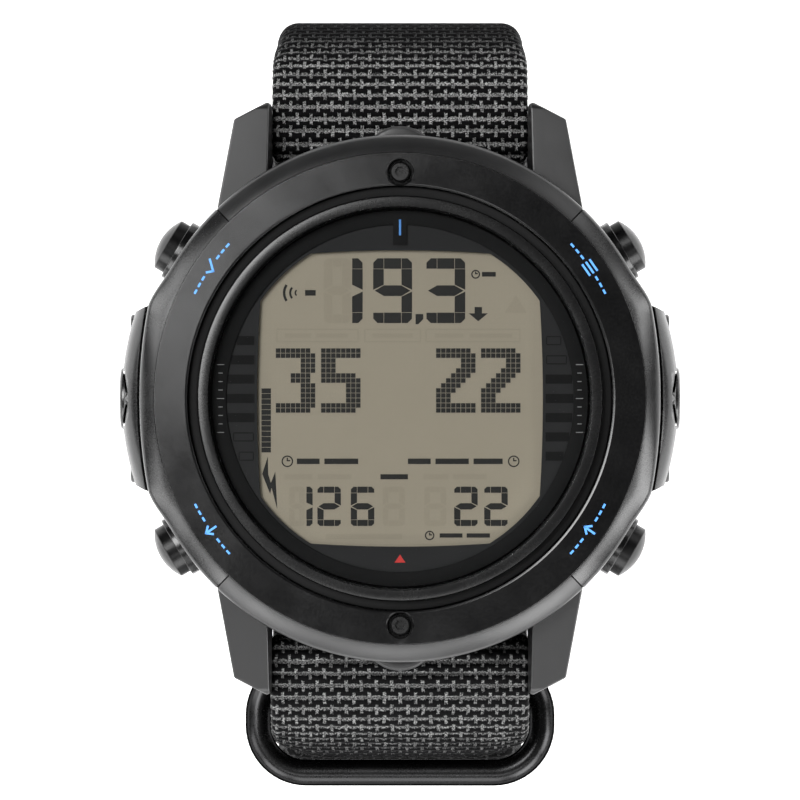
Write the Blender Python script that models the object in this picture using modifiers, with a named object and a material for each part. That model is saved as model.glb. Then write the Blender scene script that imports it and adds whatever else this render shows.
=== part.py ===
"""Dive computer: round metal case with a nylon webbing strap closed in a loop, standing on the strap."""

import math

import bmesh
import bpy
from mathutils import Matrix, Vector

# case stack: heights are above the case back, which lies at BACK_Z
BACK_Z = 0.0420
CASE_R = 0.02495
SHOULDER_R = 0.0233
SHOULDER_TOP = 0.0147
LUG_SECTOR_R = 0.0226
SEAM_DEG = 45.8
CAVITY_R = 0.0138
BOARD_BAY_R = 0.0180
BOARD_LEDGE = 0.0080
LENS_LEDGE = 0.0136
BEZEL_LEDGE = 0.0124
SIDE_FLAT_X = 0.0242
SLOT_HALF_X = 0.0123
SLOT_Y = 0.0205
SLOT_TOP = 0.0082

BEZEL_IN_R = 0.0201
BEZEL_OUT_R = 0.02315
BEZEL_TOP = 0.0152
BEZEL_SCREW_Y = 0.0214
BEZEL_SCREW_HEAD_R = 0.00095
BEZEL_SCREW_SHANK_R = 0.00055

LENS_R = 0.0190
LENS_FACE_R = 0.01806
LENS_BOTTOM = 0.0140
LENS_TOP = 0.0159
GASKET_IN_R = 0.0191
GASKET_OUT_R = 0.0200
GASKET_BOTTOM = 0.0137
GASKET_TOP = 0.0146
MASK_R = 0.0177
MASK_Z = (0.0133, 0.0138)
WINDOW_X = 0.0134
WINDOW_Y = 0.0139
WINDOW_CORNER_R = 0.0161
LCD_Z = (0.0121, 0.0132)
LCD_X = 0.0140
LCD_Y = 0.0145
FRAME_Z = (0.0094, 0.0120)
BACKLIGHT_Z = (0.0112, 0.0119)
BACKLIGHT_X = 0.0125
BACKLIGHT_Y = 0.0120
ZEBRA_X = 0.0070
ZEBRA_Y = (0.0128, 0.0140)
ZEBRA_Z = (0.0092, 0.0120)
BOARD_Z = (0.0081, 0.0091)
BOARD_R = 0.0176
COIL_R = 0.0098
COIL_WIRE_R = 0.0005
BUZZER_R = 0.0060
BUZZER_Z = (0.0098, 0.0108)

BATTERY_R = 0.01225
BATTERY_Z = (0.0022, 0.0072)
HOLDER_R = 0.0135
HOLDER_IN_R = 0.0126
HOLDER_Z = (0.0020, 0.0078)
HOLDER_FLOOR = 0.0074
CONTACT_T = 0.00015

COVER_R = 0.0190
COVER_T = 0.0016
COVER_SCREW_R = 0.0168
COVER_SCREW_DEG = (45, 135, 225, 315)
COVER_SCREW_HEAD_R = 0.0014
COVER_SCREW_SHANK_R = 0.0007
O_RING_R = 0.0147
O_RING_WIRE_R = 0.0004

SENSOR_Z = 0.0052
SENSOR_R = 0.0019
SENSOR_X = (0.0142, 0.0205)

# side covers, one at 3 o'clock and one at 9 o'clock
COVER_HALF_Y = 0.0087
COVER_OUTER_R = 0.0264
COVER_INNER_X = 0.02475
COVER_INNER_R = 0.0520
SIDE_COVER_Z = (0.0022, 0.0118)
SIDE_SCREW_Y = 0.0070
SIDE_SCREW_Z = 0.0070
SIDE_SCREW_HEAD_R = 0.0010

# lugs
LUG_OUTLINE = (
    (0.0183, 0.0130),
    (0.0173, 0.0178),
    (0.01565, 0.0263),
    (0.0126, 0.0279),
    (0.01225, 0.0276),
    (0.01225, 0.0150),
)
LUG_SIDE = (
    (0.0150, 0.0016),
    (0.0205, 0.0008),
    (0.0265, 0.0026),
    (0.0282, 0.0046),
    (0.0282, 0.0094),
    (0.0276, 0.0099),
    (0.0150, 0.0116),
)
SEAM_GAP_DEG = 0.6
SKIRT_BOTTOM = 0.0086
BRIDGE_IN_R = 0.0229
TAB_R = 0.0036
TAB_Y = 0.0222

# spring bars through the lugs
BAR_Y = 0.0253
BAR_Z = 0.0045
BAR_R = 0.0009
BAR_BORE_R = 0.0006
BAR_HALF_X = 0.0116
TIP_R = 0.0004
TIP_IN_X = 0.0086
TIP_OUT_X = 0.0137
LUG_HOLE_R = 0.0006
LUG_HOLE_END_X = 0.0143

# push buttons
QUADRANTS = ((1, 1), (-1, 1), (-1, -1), (1, -1))
QUADRANT_NAMES = ("upper_right", "upper_left", "lower_left", "lower_right")
BUTTON_DEG = 30.5
BUTTON_OFFSET = 0.00145
BUTTON_Z = 0.0085
CAP_R = 0.00235
CAP_FROM = 0.0247
CAP_EDGE = 0.0265
CAP_APEX = 0.02695
STEM_R = 0.00065
STEM_IN = 0.0189
COLLAR_R = 0.0030
COLLAR_BORE_R = 0.00265
COLLAR_FROM = 0.0206
COLLAR_POCKET = 0.0216
COLLAR_FACE = 0.02525
STEM_BORE_R = 0.0010
BUTTON_POCKET_R = 0.0032
BUTTON_POCKET_FROM = 0.0203
SPRING_R = 0.0016
SPRING_WIRE_R = 0.0002
SPRING_SPAN = (0.0219, 0.0243)
SPRING_TURNS = 3

# strap
STRAP_HALF_X = 0.0120
MAIN_T = 0.0016
UNDER_T = 0.0014
MAIN_PINCH = 0.0021
UNDER_PINCH = 0.0024
UNDER_PINCH_FROM_Y = -0.0170
PINCH_REACH = 0.0070
STACK_ARC = (0.0142, 0.01505, 0.0132)
STACK_OUTER_R = 0.0180
STACK_JOIN_DEG = 28.0

# rings, keepers and buckle
WIRE_R = 0.00115
RING_HALF_X = 0.0147
RING_HALF_D = 0.00635
RING_CORNER_R = 0.0046
RING_Y = -0.0310
RING_Z = 0.03695
RING_BAR_Y = RING_Y + RING_HALF_D - WIRE_R
KEEPER_WIRE_R = 0.0009
KEEPER_HALF_X = 0.0141
KEEPER_HALF_D = 0.0041
KEEPER_CORNER_R = 0.0024
KEEPER_A = (0.021618, 0.004107, 32.5)
KEEPER_B = (0.024895, 0.006784, 46.0)
HINGE_BAR = (0.0142, 0.0050)
FRONT_BAR = (0.0030, 0.00275)
HINGE_BAR_R = 0.0010
FRAME_HALF_X = 0.0142
FRAME_CORNER_R = 0.0016
PRONG_R = 0.0005

# Booleans run on shapes this many times larger, which keeps small faces exact
WORK_SCALE = 1000.0

# cutters are turned by this much so that their facets never line up with the facets they cut
FACET_TURN_DEG = 1.7

PARTS = "dive_computer"
CUTTERS = "cutters"


def collection(name):
    found = bpy.data.collections.get(name)
    if found is None:
        found = bpy.data.collections.new(name)
        bpy.context.scene.collection.children.link(found)
    return found


def material(name, colour, roughness, metallic):
    found = bpy.data.materials.get(name)
    if found is None:
        found = bpy.data.materials.new(name)
        found.use_nodes = True
        shader = found.node_tree.nodes["Principled BSDF"]
        shader.inputs["Base Color"].default_value = (*colour, 1.0)
        shader.inputs["Roughness"].default_value = roughness
        shader.inputs["Metallic"].default_value = metallic
    return found


def black_metal():
    return material("black_coated_metal", (0.045, 0.045, 0.047), 0.35, 1.0)


def steel():
    return material("stainless_steel", (0.55, 0.55, 0.56), 0.28, 1.0)


def black_plastic():
    return material("black_plastic", (0.02, 0.02, 0.022), 0.5, 0.0)


def rubber():
    return material("black_rubber", (0.012, 0.012, 0.013), 0.75, 0.0)


def mineral_glass():
    return material("mineral_glass", (0.85, 0.88, 0.88), 0.05, 0.0)


def mask_print():
    return material("mask_print", (0.02, 0.02, 0.022), 0.4, 0.0)


def lcd_glass():
    return material("lcd_glass", (0.29, 0.26, 0.21), 0.25, 0.0)


def diffuser():
    return material("white_diffuser", (0.75, 0.75, 0.72), 0.5, 0.0)


def board_green():
    return material("circuit_board", (0.02, 0.12, 0.05), 0.45, 0.0)


def copper():
    return material("copper_wire", (0.72, 0.36, 0.2), 0.3, 1.0)


def brass():
    return material("brass_disc", (0.7, 0.55, 0.25), 0.3, 1.0)


def battery_can():
    return material("battery_can", (0.62, 0.62, 0.6), 0.25, 1.0)


def webbing():
    return material("nylon_webbing", (0.03, 0.03, 0.032), 0.9, 0.0)


def finish(obj, name, mat, where=PARTS):
    """Name an object, give it its material and put it in its collection."""
    obj.name = name
    obj.data.name = name
    obj.data.materials.clear()
    if mat is not None:
        obj.data.materials.append(mat)
    for held in list(obj.users_collection):
        held.objects.unlink(obj)
    collection(where).objects.link(obj)
    return obj


def mesh_object(name, verts, faces):
    mesh = bpy.data.meshes.new(name)
    mesh.from_pydata(verts, [], faces)
    mesh.update()
    obj = bpy.data.objects.new(name, mesh)
    collection(PARTS).objects.link(obj)
    return obj


def settle(obj, weld=True):
    """Turn the evaluated shape into the object's own mesh."""
    bpy.context.view_layer.update()
    graph = bpy.context.evaluated_depsgraph_get()
    mesh = bpy.data.meshes.new_from_object(obj.evaluated_get(graph))
    bm = bmesh.new()
    bm.from_mesh(mesh)
    if weld:
        bmesh.ops.remove_doubles(bm, verts=bm.verts, dist=1e-7)
        bmesh.ops.recalc_face_normals(bm, faces=bm.faces)
    bm.to_mesh(mesh)
    bm.free()
    if obj.type == "MESH":
        obj.modifiers.clear()
        obj.data = mesh
        return obj
    solid = bpy.data.objects.new(obj.name, mesh)
    collection(PARTS).objects.link(solid)
    solid.matrix_world = obj.matrix_world.copy()
    bpy.data.objects.remove(obj)
    return solid


def place(obj, matrix):
    obj.data.transform(matrix)
    return obj


def revolve(profile, steps):
    """A closed solid of revolution about Z from a closed (radius, height) outline."""
    verts = [(r, 0.0, z) for r, z in profile]
    edges = [(i, (i + 1) % len(verts)) for i in range(len(verts))]
    mesh = bpy.data.meshes.new("profile")
    mesh.from_pydata(verts, edges, [])
    obj = bpy.data.objects.new("profile", mesh)
    collection(PARTS).objects.link(obj)
    screw = obj.modifiers.new("Screw", "SCREW")
    screw.axis = "Z"
    screw.steps = steps
    screw.render_steps = steps
    screw.use_merge_vertices = True
    screw.merge_threshold = 1e-6
    return settle(obj)


def disc(radius, low, high, steps, chamfer=0.0):
    profile = [(0.0, low), (radius - chamfer, low), (radius, low + chamfer), (radius, high - chamfer)]
    profile += [(radius - chamfer, high), (0.0, high)]
    if chamfer == 0.0:
        profile = [(0.0, low), (radius, low), (radius, high), (0.0, high)]
    return place(revolve_solid(profile, steps), turn_z(FACET_TURN_DEG * steps / 7.3))


def revolve_solid(profile, steps):
    """As revolve, for an outline whose first and last points lie on the axis."""
    verts = [(r, 0.0, z) for r, z in profile]
    edges = [(i, i + 1) for i in range(len(verts) - 1)]
    mesh = bpy.data.meshes.new("profile")
    mesh.from_pydata(verts, edges, [])
    obj = bpy.data.objects.new("profile", mesh)
    collection(PARTS).objects.link(obj)
    screw = obj.modifiers.new("Screw", "SCREW")
    screw.axis = "Z"
    screw.steps = steps
    screw.render_steps = steps
    screw.use_merge_vertices = True
    screw.merge_threshold = 1e-6
    return settle(obj)


def prism(outline, low, high):
    """A vertical prism on an (x, y) outline."""
    count = len(outline)
    verts = [(x, y, low) for x, y in outline] + [(x, y, high) for x, y in outline]
    faces = [tuple(range(count)), tuple(range(count, 2 * count))]
    faces += [(i, (i + 1) % count, count + (i + 1) % count, count + i) for i in range(count)]
    return settle(mesh_object("prism", verts, faces))


def box(x, y, z):
    """A box from three (low, high) ranges."""
    return prism(((x[0], y[0]), (x[1], y[0]), (x[1], y[1]), (x[0], y[1])), z[0], z[1])


def boolean(obj, other, operation):
    cutter = finish(other, obj.name + "_" + operation.lower(), None, CUTTERS)
    cutter.hide_render = True
    cutter.display_type = "WIRE"
    for each in (obj, cutter):
        place(each, Matrix.Scale(WORK_SCALE, 4))
    modifier = obj.modifiers.new(operation, "BOOLEAN")
    modifier.operation = operation
    modifier.solver = "EXACT"
    modifier.object = cutter
    settle(obj, weld=False)
    place(obj, Matrix.Scale(1.0 / WORK_SCALE, 4))
    bpy.data.objects.remove(cutter)
    return obj


def cut(obj, other):
    return boolean(obj, other, "DIFFERENCE")


def unite(obj, other):
    return boolean(obj, other, "UNION")


def meet(obj, other):
    return boolean(obj, other, "INTERSECT")


def lift(obj):
    """Raise a piece drawn above the case back to its height in the world."""
    return place(obj, Matrix.Translation((0.0, 0.0, BACK_Z)))


def along_x(obj, x_sign, y, z):
    """Lay a piece drawn up +Z along +X or -X, through (y, z)."""
    turn = Matrix.Rotation(x_sign * math.pi / 2, 4, "Y")
    return place(obj, Matrix.Translation((0.0, y, z)) @ turn)


def circle(radius, steps, cx=0.0, cy=0.0):
    return [
        (cx + radius * math.cos(2 * math.pi * i / steps), cy + radius * math.sin(2 * math.pi * i / steps))
        for i in range(steps)
    ]


def wedge(half_deg, radius, low, high):
    """A wedge about +Y, both sides of it by half_deg, as a cutter."""
    steps = 6
    points = [(0.0, 0.0)]
    for i in range(steps + 1):
        a = math.radians(90.0 - half_deg + 2.0 * half_deg * i / steps)
        points.append((radius * math.cos(a), radius * math.sin(a)))
    return prism(points, low, high)


def arc(cy, cz, radius, start, end, count):
    """Points on an arc in the YZ plane; degrees from +Y towards +Z."""
    return [
        (
            cy + radius * math.cos(math.radians(start + (end - start) * i / count)),
            cz + radius * math.sin(math.radians(start + (end - start) * i / count)),
        )
        for i in range(count + 1)
    ]


def smooth(points, count):
    """Catmull-Rom through the points, count steps per span, ends kept."""
    padded = [points[0]] + list(points) + [points[-1]]
    out = []
    for i in range(1, len(padded) - 2):
        p0, p1, p2, p3 = padded[i - 1 : i + 3]
        for k in range(count):
            t = k / count
            out.append(
                tuple(
                    0.5
                    * (
                        2 * p1[j]
                        + (p2[j] - p0[j]) * t
                        + (2 * p0[j] - 5 * p1[j] + 4 * p2[j] - p3[j]) * t * t
                        + (3 * p1[j] - p0[j] - 3 * p2[j] + p3[j]) * t**3
                    )
                    for j in (0, 1)
                )
            )
    out.append(tuple(points[-1]))
    return out


def thin_out(points, least=0.0002):
    kept = [points[0]]
    for p in points[1:]:
        if math.hypot(p[0] - kept[-1][0], p[1] - kept[-1][1]) > least:
            kept.append(p)
    return kept


def ease(t):
    t = max(0.0, min(1.0, t))
    return t * t * (3.0 - 2.0 * t)


def main_pinch(y, z):
    """How far each edge of the main webbing draws in where it runs through the strap ring."""
    if y > -0.0300:
        return 0.0
    return MAIN_PINCH * (1.0 - ease(abs(z - RING_Z) / PINCH_REACH))


def under_pinch(y, z):
    """How far each edge of the under strap draws in where it folds round the ring's inner bar."""
    return UNDER_PINCH * ease((UNDER_PINCH_FROM_Y - y) / PINCH_REACH)


def ribbon(points, thickness, half_x, pinch):
    """A webbing ribbon along a YZ centreline: a strip thickened both ways by Solidify."""
    points = thin_out(points)
    verts = []
    for y, z in points:
        half = half_x - pinch(y, z)
        verts += [(-half, y, z), (half, y, z)]
    faces = [(2 * i, 2 * i + 1, 2 * i + 3, 2 * i + 2) for i in range(len(points) - 1)]
    obj = mesh_object("ribbon", verts, faces)
    solid = obj.modifiers.new("Solidify", "SOLIDIFY")
    solid.thickness = thickness
    solid.offset = 0.0
    solid.use_even_offset = True
    return settle(obj)


def tube(points, radius, closed, sides=2):
    """A round bar along 3D points, from a bevelled curve."""
    curve = bpy.data.curves.new("tube", "CURVE")
    curve.dimensions = "3D"
    curve.bevel_depth = radius
    curve.bevel_resolution = sides
    curve.use_fill_caps = not closed
    spline = curve.splines.new("POLY")
    spline.points.add(len(points) - 1)
    for i, p in enumerate(points):
        spline.points[i].co = (*p, 1.0)
    spline.use_cyclic_u = closed
    obj = bpy.data.objects.new("tube", curve)
    collection(PARTS).objects.link(obj)
    return settle(obj)


# ---------------------------------------------------------------- case


def shoulder_profile(inner, low):
    return [
        (inner, low),
        (CASE_R, low),
        (CASE_R, 0.0120),
        (0.0246, 0.0132),
        (0.0240, 0.0142),
        (SHOULDER_R, SHOULDER_TOP),
        (inner, SHOULDER_TOP),
    ]


def case_body():
    profile = [
        (CAVITY_R, 0.0018),
        (0.0193, 0.0018),
        (0.0193, 0.0008),
        (0.0222, 0.0008),
        (0.0228, 0.0014),
        (0.0242, 0.0045),
        (CASE_R, 0.0080),
        (CASE_R, 0.0120),
        (0.0246, 0.0132),
        (0.0240, 0.0142),
        (SHOULDER_R, SHOULDER_TOP),
        (SHOULDER_R, BEZEL_LEDGE),
        (0.0199, BEZEL_LEDGE),
        (0.0199, LENS_LEDGE),
        (BOARD_BAY_R, LENS_LEDGE),
        (BOARD_BAY_R, BOARD_LEDGE),
        (CAVITY_R, BOARD_LEDGE),
    ]
    obj = revolve(profile, 52)
    obj.name = "case_body"
    for side in (1, -1):
        sector = revolve([(LUG_SECTOR_R, -0.002), (0.030, -0.002), (0.030, 0.018), (LUG_SECTOR_R, 0.018)], 52)
        place(sector, turn_z(FACET_TURN_DEG))
        meet(sector, place(wedge(90.0 - SEAM_DEG, 0.045, -0.003, 0.019), turn_z(0 if side > 0 else 180)))
        cut(obj, sector)
        far = side * 0.030
        near = side * SLOT_Y
        cut(obj, box((-SLOT_HALF_X, SLOT_HALF_X), tuple(sorted((near, far))), (-0.002, SLOT_TOP)))
        flat = tuple(sorted((side * SIDE_FLAT_X, side * 0.030)))
        cut(obj, box(flat, (-0.012, 0.012), (-0.002, 0.0125)))
        screw_hole = disc(BEZEL_SCREW_SHANK_R + 0.0003, 0.0095, 0.0140, 12)
        cut(obj, place(screw_hole, Matrix.Translation((0.0, side * BEZEL_SCREW_Y, 0.0))))
        for y in (SIDE_SCREW_Y, -SIDE_SCREW_Y):
            hole = disc(0.0008, 0.0208, 0.0260, 8)
            cut(obj, along_x(hole, side, y, SIDE_SCREW_Z))
    groove = revolve([(0.0142, 0.0017), (0.0152, 0.0017), (0.0152, 0.0025), (0.0142, 0.0025)], 36)
    cut(obj, place(groove, turn_z(FACET_TURN_DEG)))
    for deg in COVER_SCREW_DEG:
        hole = disc(COVER_SCREW_SHANK_R + 0.0003, 0.0010, 0.0050, 8)
        cut(obj, place(hole, turn_z(deg) @ Matrix.Translation((COVER_SCREW_R, 0.0, 0.0))))
    sensor = disc(SENSOR_R + 0.0003, 0.0130, 0.0208, 12)
    cut(obj, along_x(sensor, -1, 0.0, SENSOR_Z))
    port = disc(0.0007, 0.0200, 0.0260, 8)
    cut(obj, along_x(port, -1, 0.0, SENSOR_Z))
    for sx, sy in QUADRANTS:
        pocket = disc(BUTTON_POCKET_R, BUTTON_POCKET_FROM, 0.0300, 16)
        cut(obj, place(pocket, button_frame(sx, sy)))
        stem = disc(STEM_BORE_R, 0.0150, 0.0210, 8)
        cut(obj, place(stem, button_frame(sx, sy)))
    return finish(lift(obj), "case_body", black_metal())


def turn_z(degrees):
    return Matrix.Rotation(math.radians(degrees), 4, "Z")


def lug(sx, sy):
    outline = [(sx * x, sy * y) for x, y in LUG_OUTLINE]
    block = prism(outline, -0.002, 0.018)
    count = len(LUG_SIDE)
    verts = [(-0.02, sy * y, z) for y, z in LUG_SIDE] + [(0.02, sy * y, z) for y, z in LUG_SIDE]
    faces = [tuple(range(count)), tuple(range(count, 2 * count))]
    faces += [(i, (i + 1) % count, count + (i + 1) % count, count + i) for i in range(count)]
    side = settle(mesh_object("lug_side", verts, faces))
    block.name = "lug"
    meet(block, side)
    cut(block, along_x(disc(LUG_HOLE_R, 0.0100, LUG_HOLE_END_X, 16), sx, sy * BAR_Y, BAR_Z))
    return block


def lug_bridge(name, sy):
    ring = revolve(shoulder_profile(0.0218, SKIRT_BOTTOM), 72)
    ring.name = name
    recess = revolve([(0.0210, 0.0121), (0.02335, 0.0121), (0.02335, 0.018), (0.0210, 0.018)], 72)
    cut(ring, place(recess, turn_z(FACET_TURN_DEG)))
    tab = disc(TAB_R, 0.0092, 0.0118, 24)
    unite(ring, place(tab, Matrix.Translation((0.0, sy * TAB_Y, 0.0))))
    for sx in (1, -1):
        unite(ring, lug(sx, sy))
    cut(ring, disc(BRIDGE_IN_R, -0.004, 0.0125, 72))
    keep = wedge(90.0 - SEAM_DEG - SEAM_GAP_DEG, 0.045, -0.003, 0.019)
    meet(ring, place(keep, turn_z(0 if sy > 0 else 180)))
    return finish(lift(ring), name, black_metal())


def bezel():
    profile = [
        (BEZEL_IN_R, 0.0126),
        (0.0230, 0.0126),
        (BEZEL_OUT_R, 0.0128),
        (BEZEL_OUT_R, 0.0149),
        (0.0230, BEZEL_TOP - 0.0002),
        (0.0205, BEZEL_TOP),
        (BEZEL_IN_R, BEZEL_TOP - 0.0003),
    ]
    obj = revolve(profile, 60)
    obj.name = "bezel"
    for side in (1, -1):
        at = Matrix.Translation((0.0, side * BEZEL_SCREW_Y, 0.0))
        cut(obj, place(disc(0.0012, 0.0140, 0.0170, 16), at))
        cut(obj, place(disc(BEZEL_SCREW_SHANK_R + 0.0003, 0.0110, 0.0150, 12), at))
    return finish(lift(obj), "bezel", black_metal())


def screw_solid(head_r, head, shank_r, shank_end, drive_r, steps=16):
    """A screw drawn pointing down -Z: head from head[0] up to head[1], hex drive in its top."""
    profile = [(0.0, shank_end), (shank_r, shank_end), (shank_r, head[0])]
    profile += [(head_r, head[0]), (head_r, head[1]), (0.0, head[1])]
    obj = revolve_solid(profile, steps)
    obj.name = "screw"
    deep = 0.55 * (head[1] - head[0])
    cut(obj, prism(circle(drive_r, 6), head[1] - deep, head[1] + 0.001))
    return obj


def bezel_screw(name, side):
    obj = screw_solid(BEZEL_SCREW_HEAD_R, (0.0143, 0.0149), BEZEL_SCREW_SHANK_R, 0.0100, 0.0005)
    place(obj, Matrix.Translation((0.0, side * BEZEL_SCREW_Y, 0.0)))
    return finish(lift(obj), name, steel())


def lens():
    profile = [
        (0.0, LENS_BOTTOM),
        (LENS_R, LENS_BOTTOM),
        (LENS_R, 0.0153),
        (LENS_FACE_R, LENS_TOP),
        (0.0, LENS_TOP),
    ]
    return finish(lift(revolve_solid(profile, 72)), "lens", mineral_glass())


def lens_gasket():
    profile = [(GASKET_IN_R, GASKET_BOTTOM), (GASKET_OUT_R, GASKET_BOTTOM)]
    profile += [(GASKET_OUT_R, GASKET_TOP), (GASKET_IN_R, GASKET_TOP)]
    return finish(lift(revolve(profile, 48)), "lens_gasket", rubber())


def window_outline(half_x, half_y, corner_r):
    """A rectangle whose corners are cut to a circle about the centre."""
    side_y = math.sqrt(corner_r**2 - half_x**2)
    top_x = math.sqrt(corner_r**2 - half_y**2)
    points = []
    a0 = math.atan2(side_y, half_x)
    a1 = math.atan2(half_y, top_x)
    steps = 4
    for quarter in range(4):
        for i in range(steps + 1):
            a = a0 + (a1 - a0) * i / steps
            x, y = corner_r * math.cos(a), corner_r * math.sin(a)
            turned = ((x, y), (-x, y), (-x, -y), (x, -y))[quarter]
            points.append((quarter, i if quarter % 2 == 0 else steps - i, turned))
    return [p for _, _, p in sorted(points, key=lambda e: (e[0], e[1]))]


def dial_mask():
    obj = disc(MASK_R, MASK_Z[0], MASK_Z[1], 48)
    obj.name = "dial_mask"
    cut(obj, prism(window_outline(WINDOW_X, WINDOW_Y, WINDOW_CORNER_R), 0.0120, 0.0150))
    return finish(lift(obj), "dial_mask", mask_print())


def lcd_panel():
    outline = window_outline(LCD_X, LCD_Y, 0.0175)
    return finish(lift(prism(outline, LCD_Z[0], LCD_Z[1])), "lcd_panel", lcd_glass())


def lcd_frame():
    obj = disc(BOARD_R, FRAME_Z[0], FRAME_Z[1], 36)
    obj.name = "lcd_frame"
    cut(obj, prism(window_outline(0.0136, 0.0146, 0.0166), 0.0080, 0.0140))
    return finish(lift(obj), "lcd_frame", black_plastic())


def backlight_panel():
    obj = box((-BACKLIGHT_X, BACKLIGHT_X), (-BACKLIGHT_Y, BACKLIGHT_Y), BACKLIGHT_Z)
    meet(obj, disc(0.0162, 0.0100, 0.0130, 48))
    return finish(lift(obj), "backlight_panel", diffuser())


def zebra_strip(name, side):
    span = tuple(sorted((side * ZEBRA_Y[0], side * ZEBRA_Y[1])))
    return finish(lift(box((-ZEBRA_X, ZEBRA_X), span, ZEBRA_Z)), name, rubber())


def main_board():
    obj = disc(BOARD_R, BOARD_Z[0], BOARD_Z[1], 36)
    obj.name = "main_board"
    for x, y, w, d in ((0.004, -0.008, 0.0022, 0.0022), (-0.006, 0.0065, 0.0015, 0.0011)):
        unite(obj, box((x - w, x + w), (y - d, y + d), (0.0090, 0.0093)))
    for deg in (0, 90, 180, 270):
        notch = place(disc(0.0009, 0.007, 0.011, 12), turn_z(deg) @ Matrix.Translation((BOARD_R, 0.0, 0.0)))
        cut(obj, notch)
    return finish(lift(obj), "main_board", board_green())


def antenna_coil():
    points = [(x, y, 0.0099) for x, y in circle(COIL_R, 26)]
    return finish(lift(tube(points, COIL_WIRE_R, True, 1)), "antenna_coil", copper())


def piezo_buzzer():
    obj = disc(BUZZER_R, BUZZER_Z[0], BUZZER_Z[1], 24)
    return finish(lift(obj), "piezo_buzzer", brass())


def pressure_sensor():
    profile = [
        (0.0, SENSOR_X[0]),
        (0.0015, SENSOR_X[0]),
        (0.0015, 0.0155),
        (SENSOR_R, 0.0155),
        (SENSOR_R, SENSOR_X[1]),
        (0.0, SENSOR_X[1]),
    ]
    obj = along_x(revolve_solid(profile, 20), -1, 0.0, SENSOR_Z)
    return finish(lift(obj), "pressure_sensor", steel())


def battery():
    profile = [
        (0.0, BATTERY_Z[0]),
        (BATTERY_R - 0.0004, BATTERY_Z[0]),
        (BATTERY_R, BATTERY_Z[0] + 0.0004),
        (BATTERY_R, 0.0067),
        (0.0108, 0.0067),
        (0.0104, BATTERY_Z[1]),
        (0.0, BATTERY_Z[1]),
    ]
    return finish(lift(revolve_solid(profile, 32)), "battery", battery_can())


def battery_holder():
    profile = [
        (0.0045, HOLDER_FLOOR),
        (HOLDER_IN_R, HOLDER_FLOOR),
        (HOLDER_IN_R, HOLDER_Z[0]),
        (HOLDER_R, HOLDER_Z[0]),
        (HOLDER_R, HOLDER_Z[1]),
        (0.0045, HOLDER_Z[1]),
    ]
    obj = revolve(profile, 32)
    obj.name = "battery_holder"
    cut(obj, box((0.0110, 0.0150), (-0.0023, 0.0023), (0.0010, 0.0090)))
    return finish(lift(obj), "battery_holder", black_plastic())


def battery_contact_plus():
    points = ((0.0127, 0.0028), (0.0130, 0.0072), (0.0127, 0.0079), (0.0119, 0.0079))
    verts = [(x, y, z) for x, z in points for y in (-0.0018, 0.0018)]
    faces = [(2 * i, 2 * i + 1, 2 * i + 3, 2 * i + 2) for i in range(len(points) - 1)]
    obj = mesh_object("strip", verts, faces)
    solid = obj.modifiers.new("Solidify", "SOLIDIFY")
    solid.thickness = CONTACT_T
    solid.offset = 0.0
    return finish(lift(settle(obj)), "battery_contact_plus", steel())


def battery_contact_minus():
    points = ((-0.0038, 0.00785), (-0.0010, 0.00785), (0.0014, 0.00735), (0.0030, 0.00735))
    verts = [(x, y, z) for x, z in points for y in (-0.0012, 0.0012)]
    faces = [(2 * i, 2 * i + 1, 2 * i + 3, 2 * i + 2) for i in range(len(points) - 1)]
    obj = mesh_object("strip", verts, faces)
    solid = obj.modifiers.new("Solidify", "SOLIDIFY")
    solid.thickness = CONTACT_T
    solid.offset = 0.0
    return finish(lift(settle(obj)), "battery_contact_minus", steel())


def back_cover():
    obj = disc(COVER_R, 0.0, COVER_T, 44, 0.0003)
    obj.name = "back_cover"
    for deg in COVER_SCREW_DEG:
        at = turn_z(deg) @ Matrix.Translation((COVER_SCREW_R, 0.0, 0.0))
        cut(obj, place(disc(COVER_SCREW_HEAD_R + 0.0002, -0.001, 0.0008, 16), at))
        cut(obj, place(disc(COVER_SCREW_SHANK_R + 0.0002, -0.001, 0.0030, 12), at))
    return finish(lift(obj), "back_cover", steel())


def back_cover_o_ring():
    points = [(x, y, 0.00208) for x, y in circle(O_RING_R, 30)]
    return finish(lift(tube(points, O_RING_WIRE_R, True, 1)), "back_cover_o_ring", rubber())


def back_cover_screw(name, deg):
    obj = screw_solid(COVER_SCREW_HEAD_R, (-0.00075, -0.00015), COVER_SCREW_SHANK_R, -0.0046, 0.0007, 12)
    place(obj, Matrix.Rotation(math.pi, 4, "X"))
    place(obj, turn_z(deg) @ Matrix.Translation((COVER_SCREW_R, 0.0, 0.0)))
    return finish(lift(obj), name, steel())


def side_cover(name, side):
    inner = []
    outer = []
    steps = 8
    for i in range(steps + 1):
        y = -COVER_HALF_Y + 2 * COVER_HALF_Y * i / steps
        inner.append((COVER_INNER_X - y * y / (2 * COVER_INNER_R), y))
        outer.append((math.sqrt(COVER_OUTER_R**2 - y * y), y))
    outline = [(side * x, y) for x, y in outer + inner[::-1]]
    obj = prism(outline, SIDE_COVER_Z[0], SIDE_COVER_Z[1])
    obj.name = name
    for y in (SIDE_SCREW_Y, -SIDE_SCREW_Y):
        cut(obj, along_x(disc(SIDE_SCREW_HEAD_R + 0.0002, 0.02490, 0.0300, 16), side, y, SIDE_SCREW_Z))
        cut(obj, along_x(disc(0.0008, 0.0200, 0.0300, 12), side, y, SIDE_SCREW_Z))
    for y in (-0.0011, 0.0011):
        slit = box(tuple(sorted((side * 0.0240, side * 0.0280))), (y - 0.0003, y + 0.0003), (0.0034, 0.0070))
        cut(obj, slit)
    return finish(lift(obj), name, black_metal())


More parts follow.
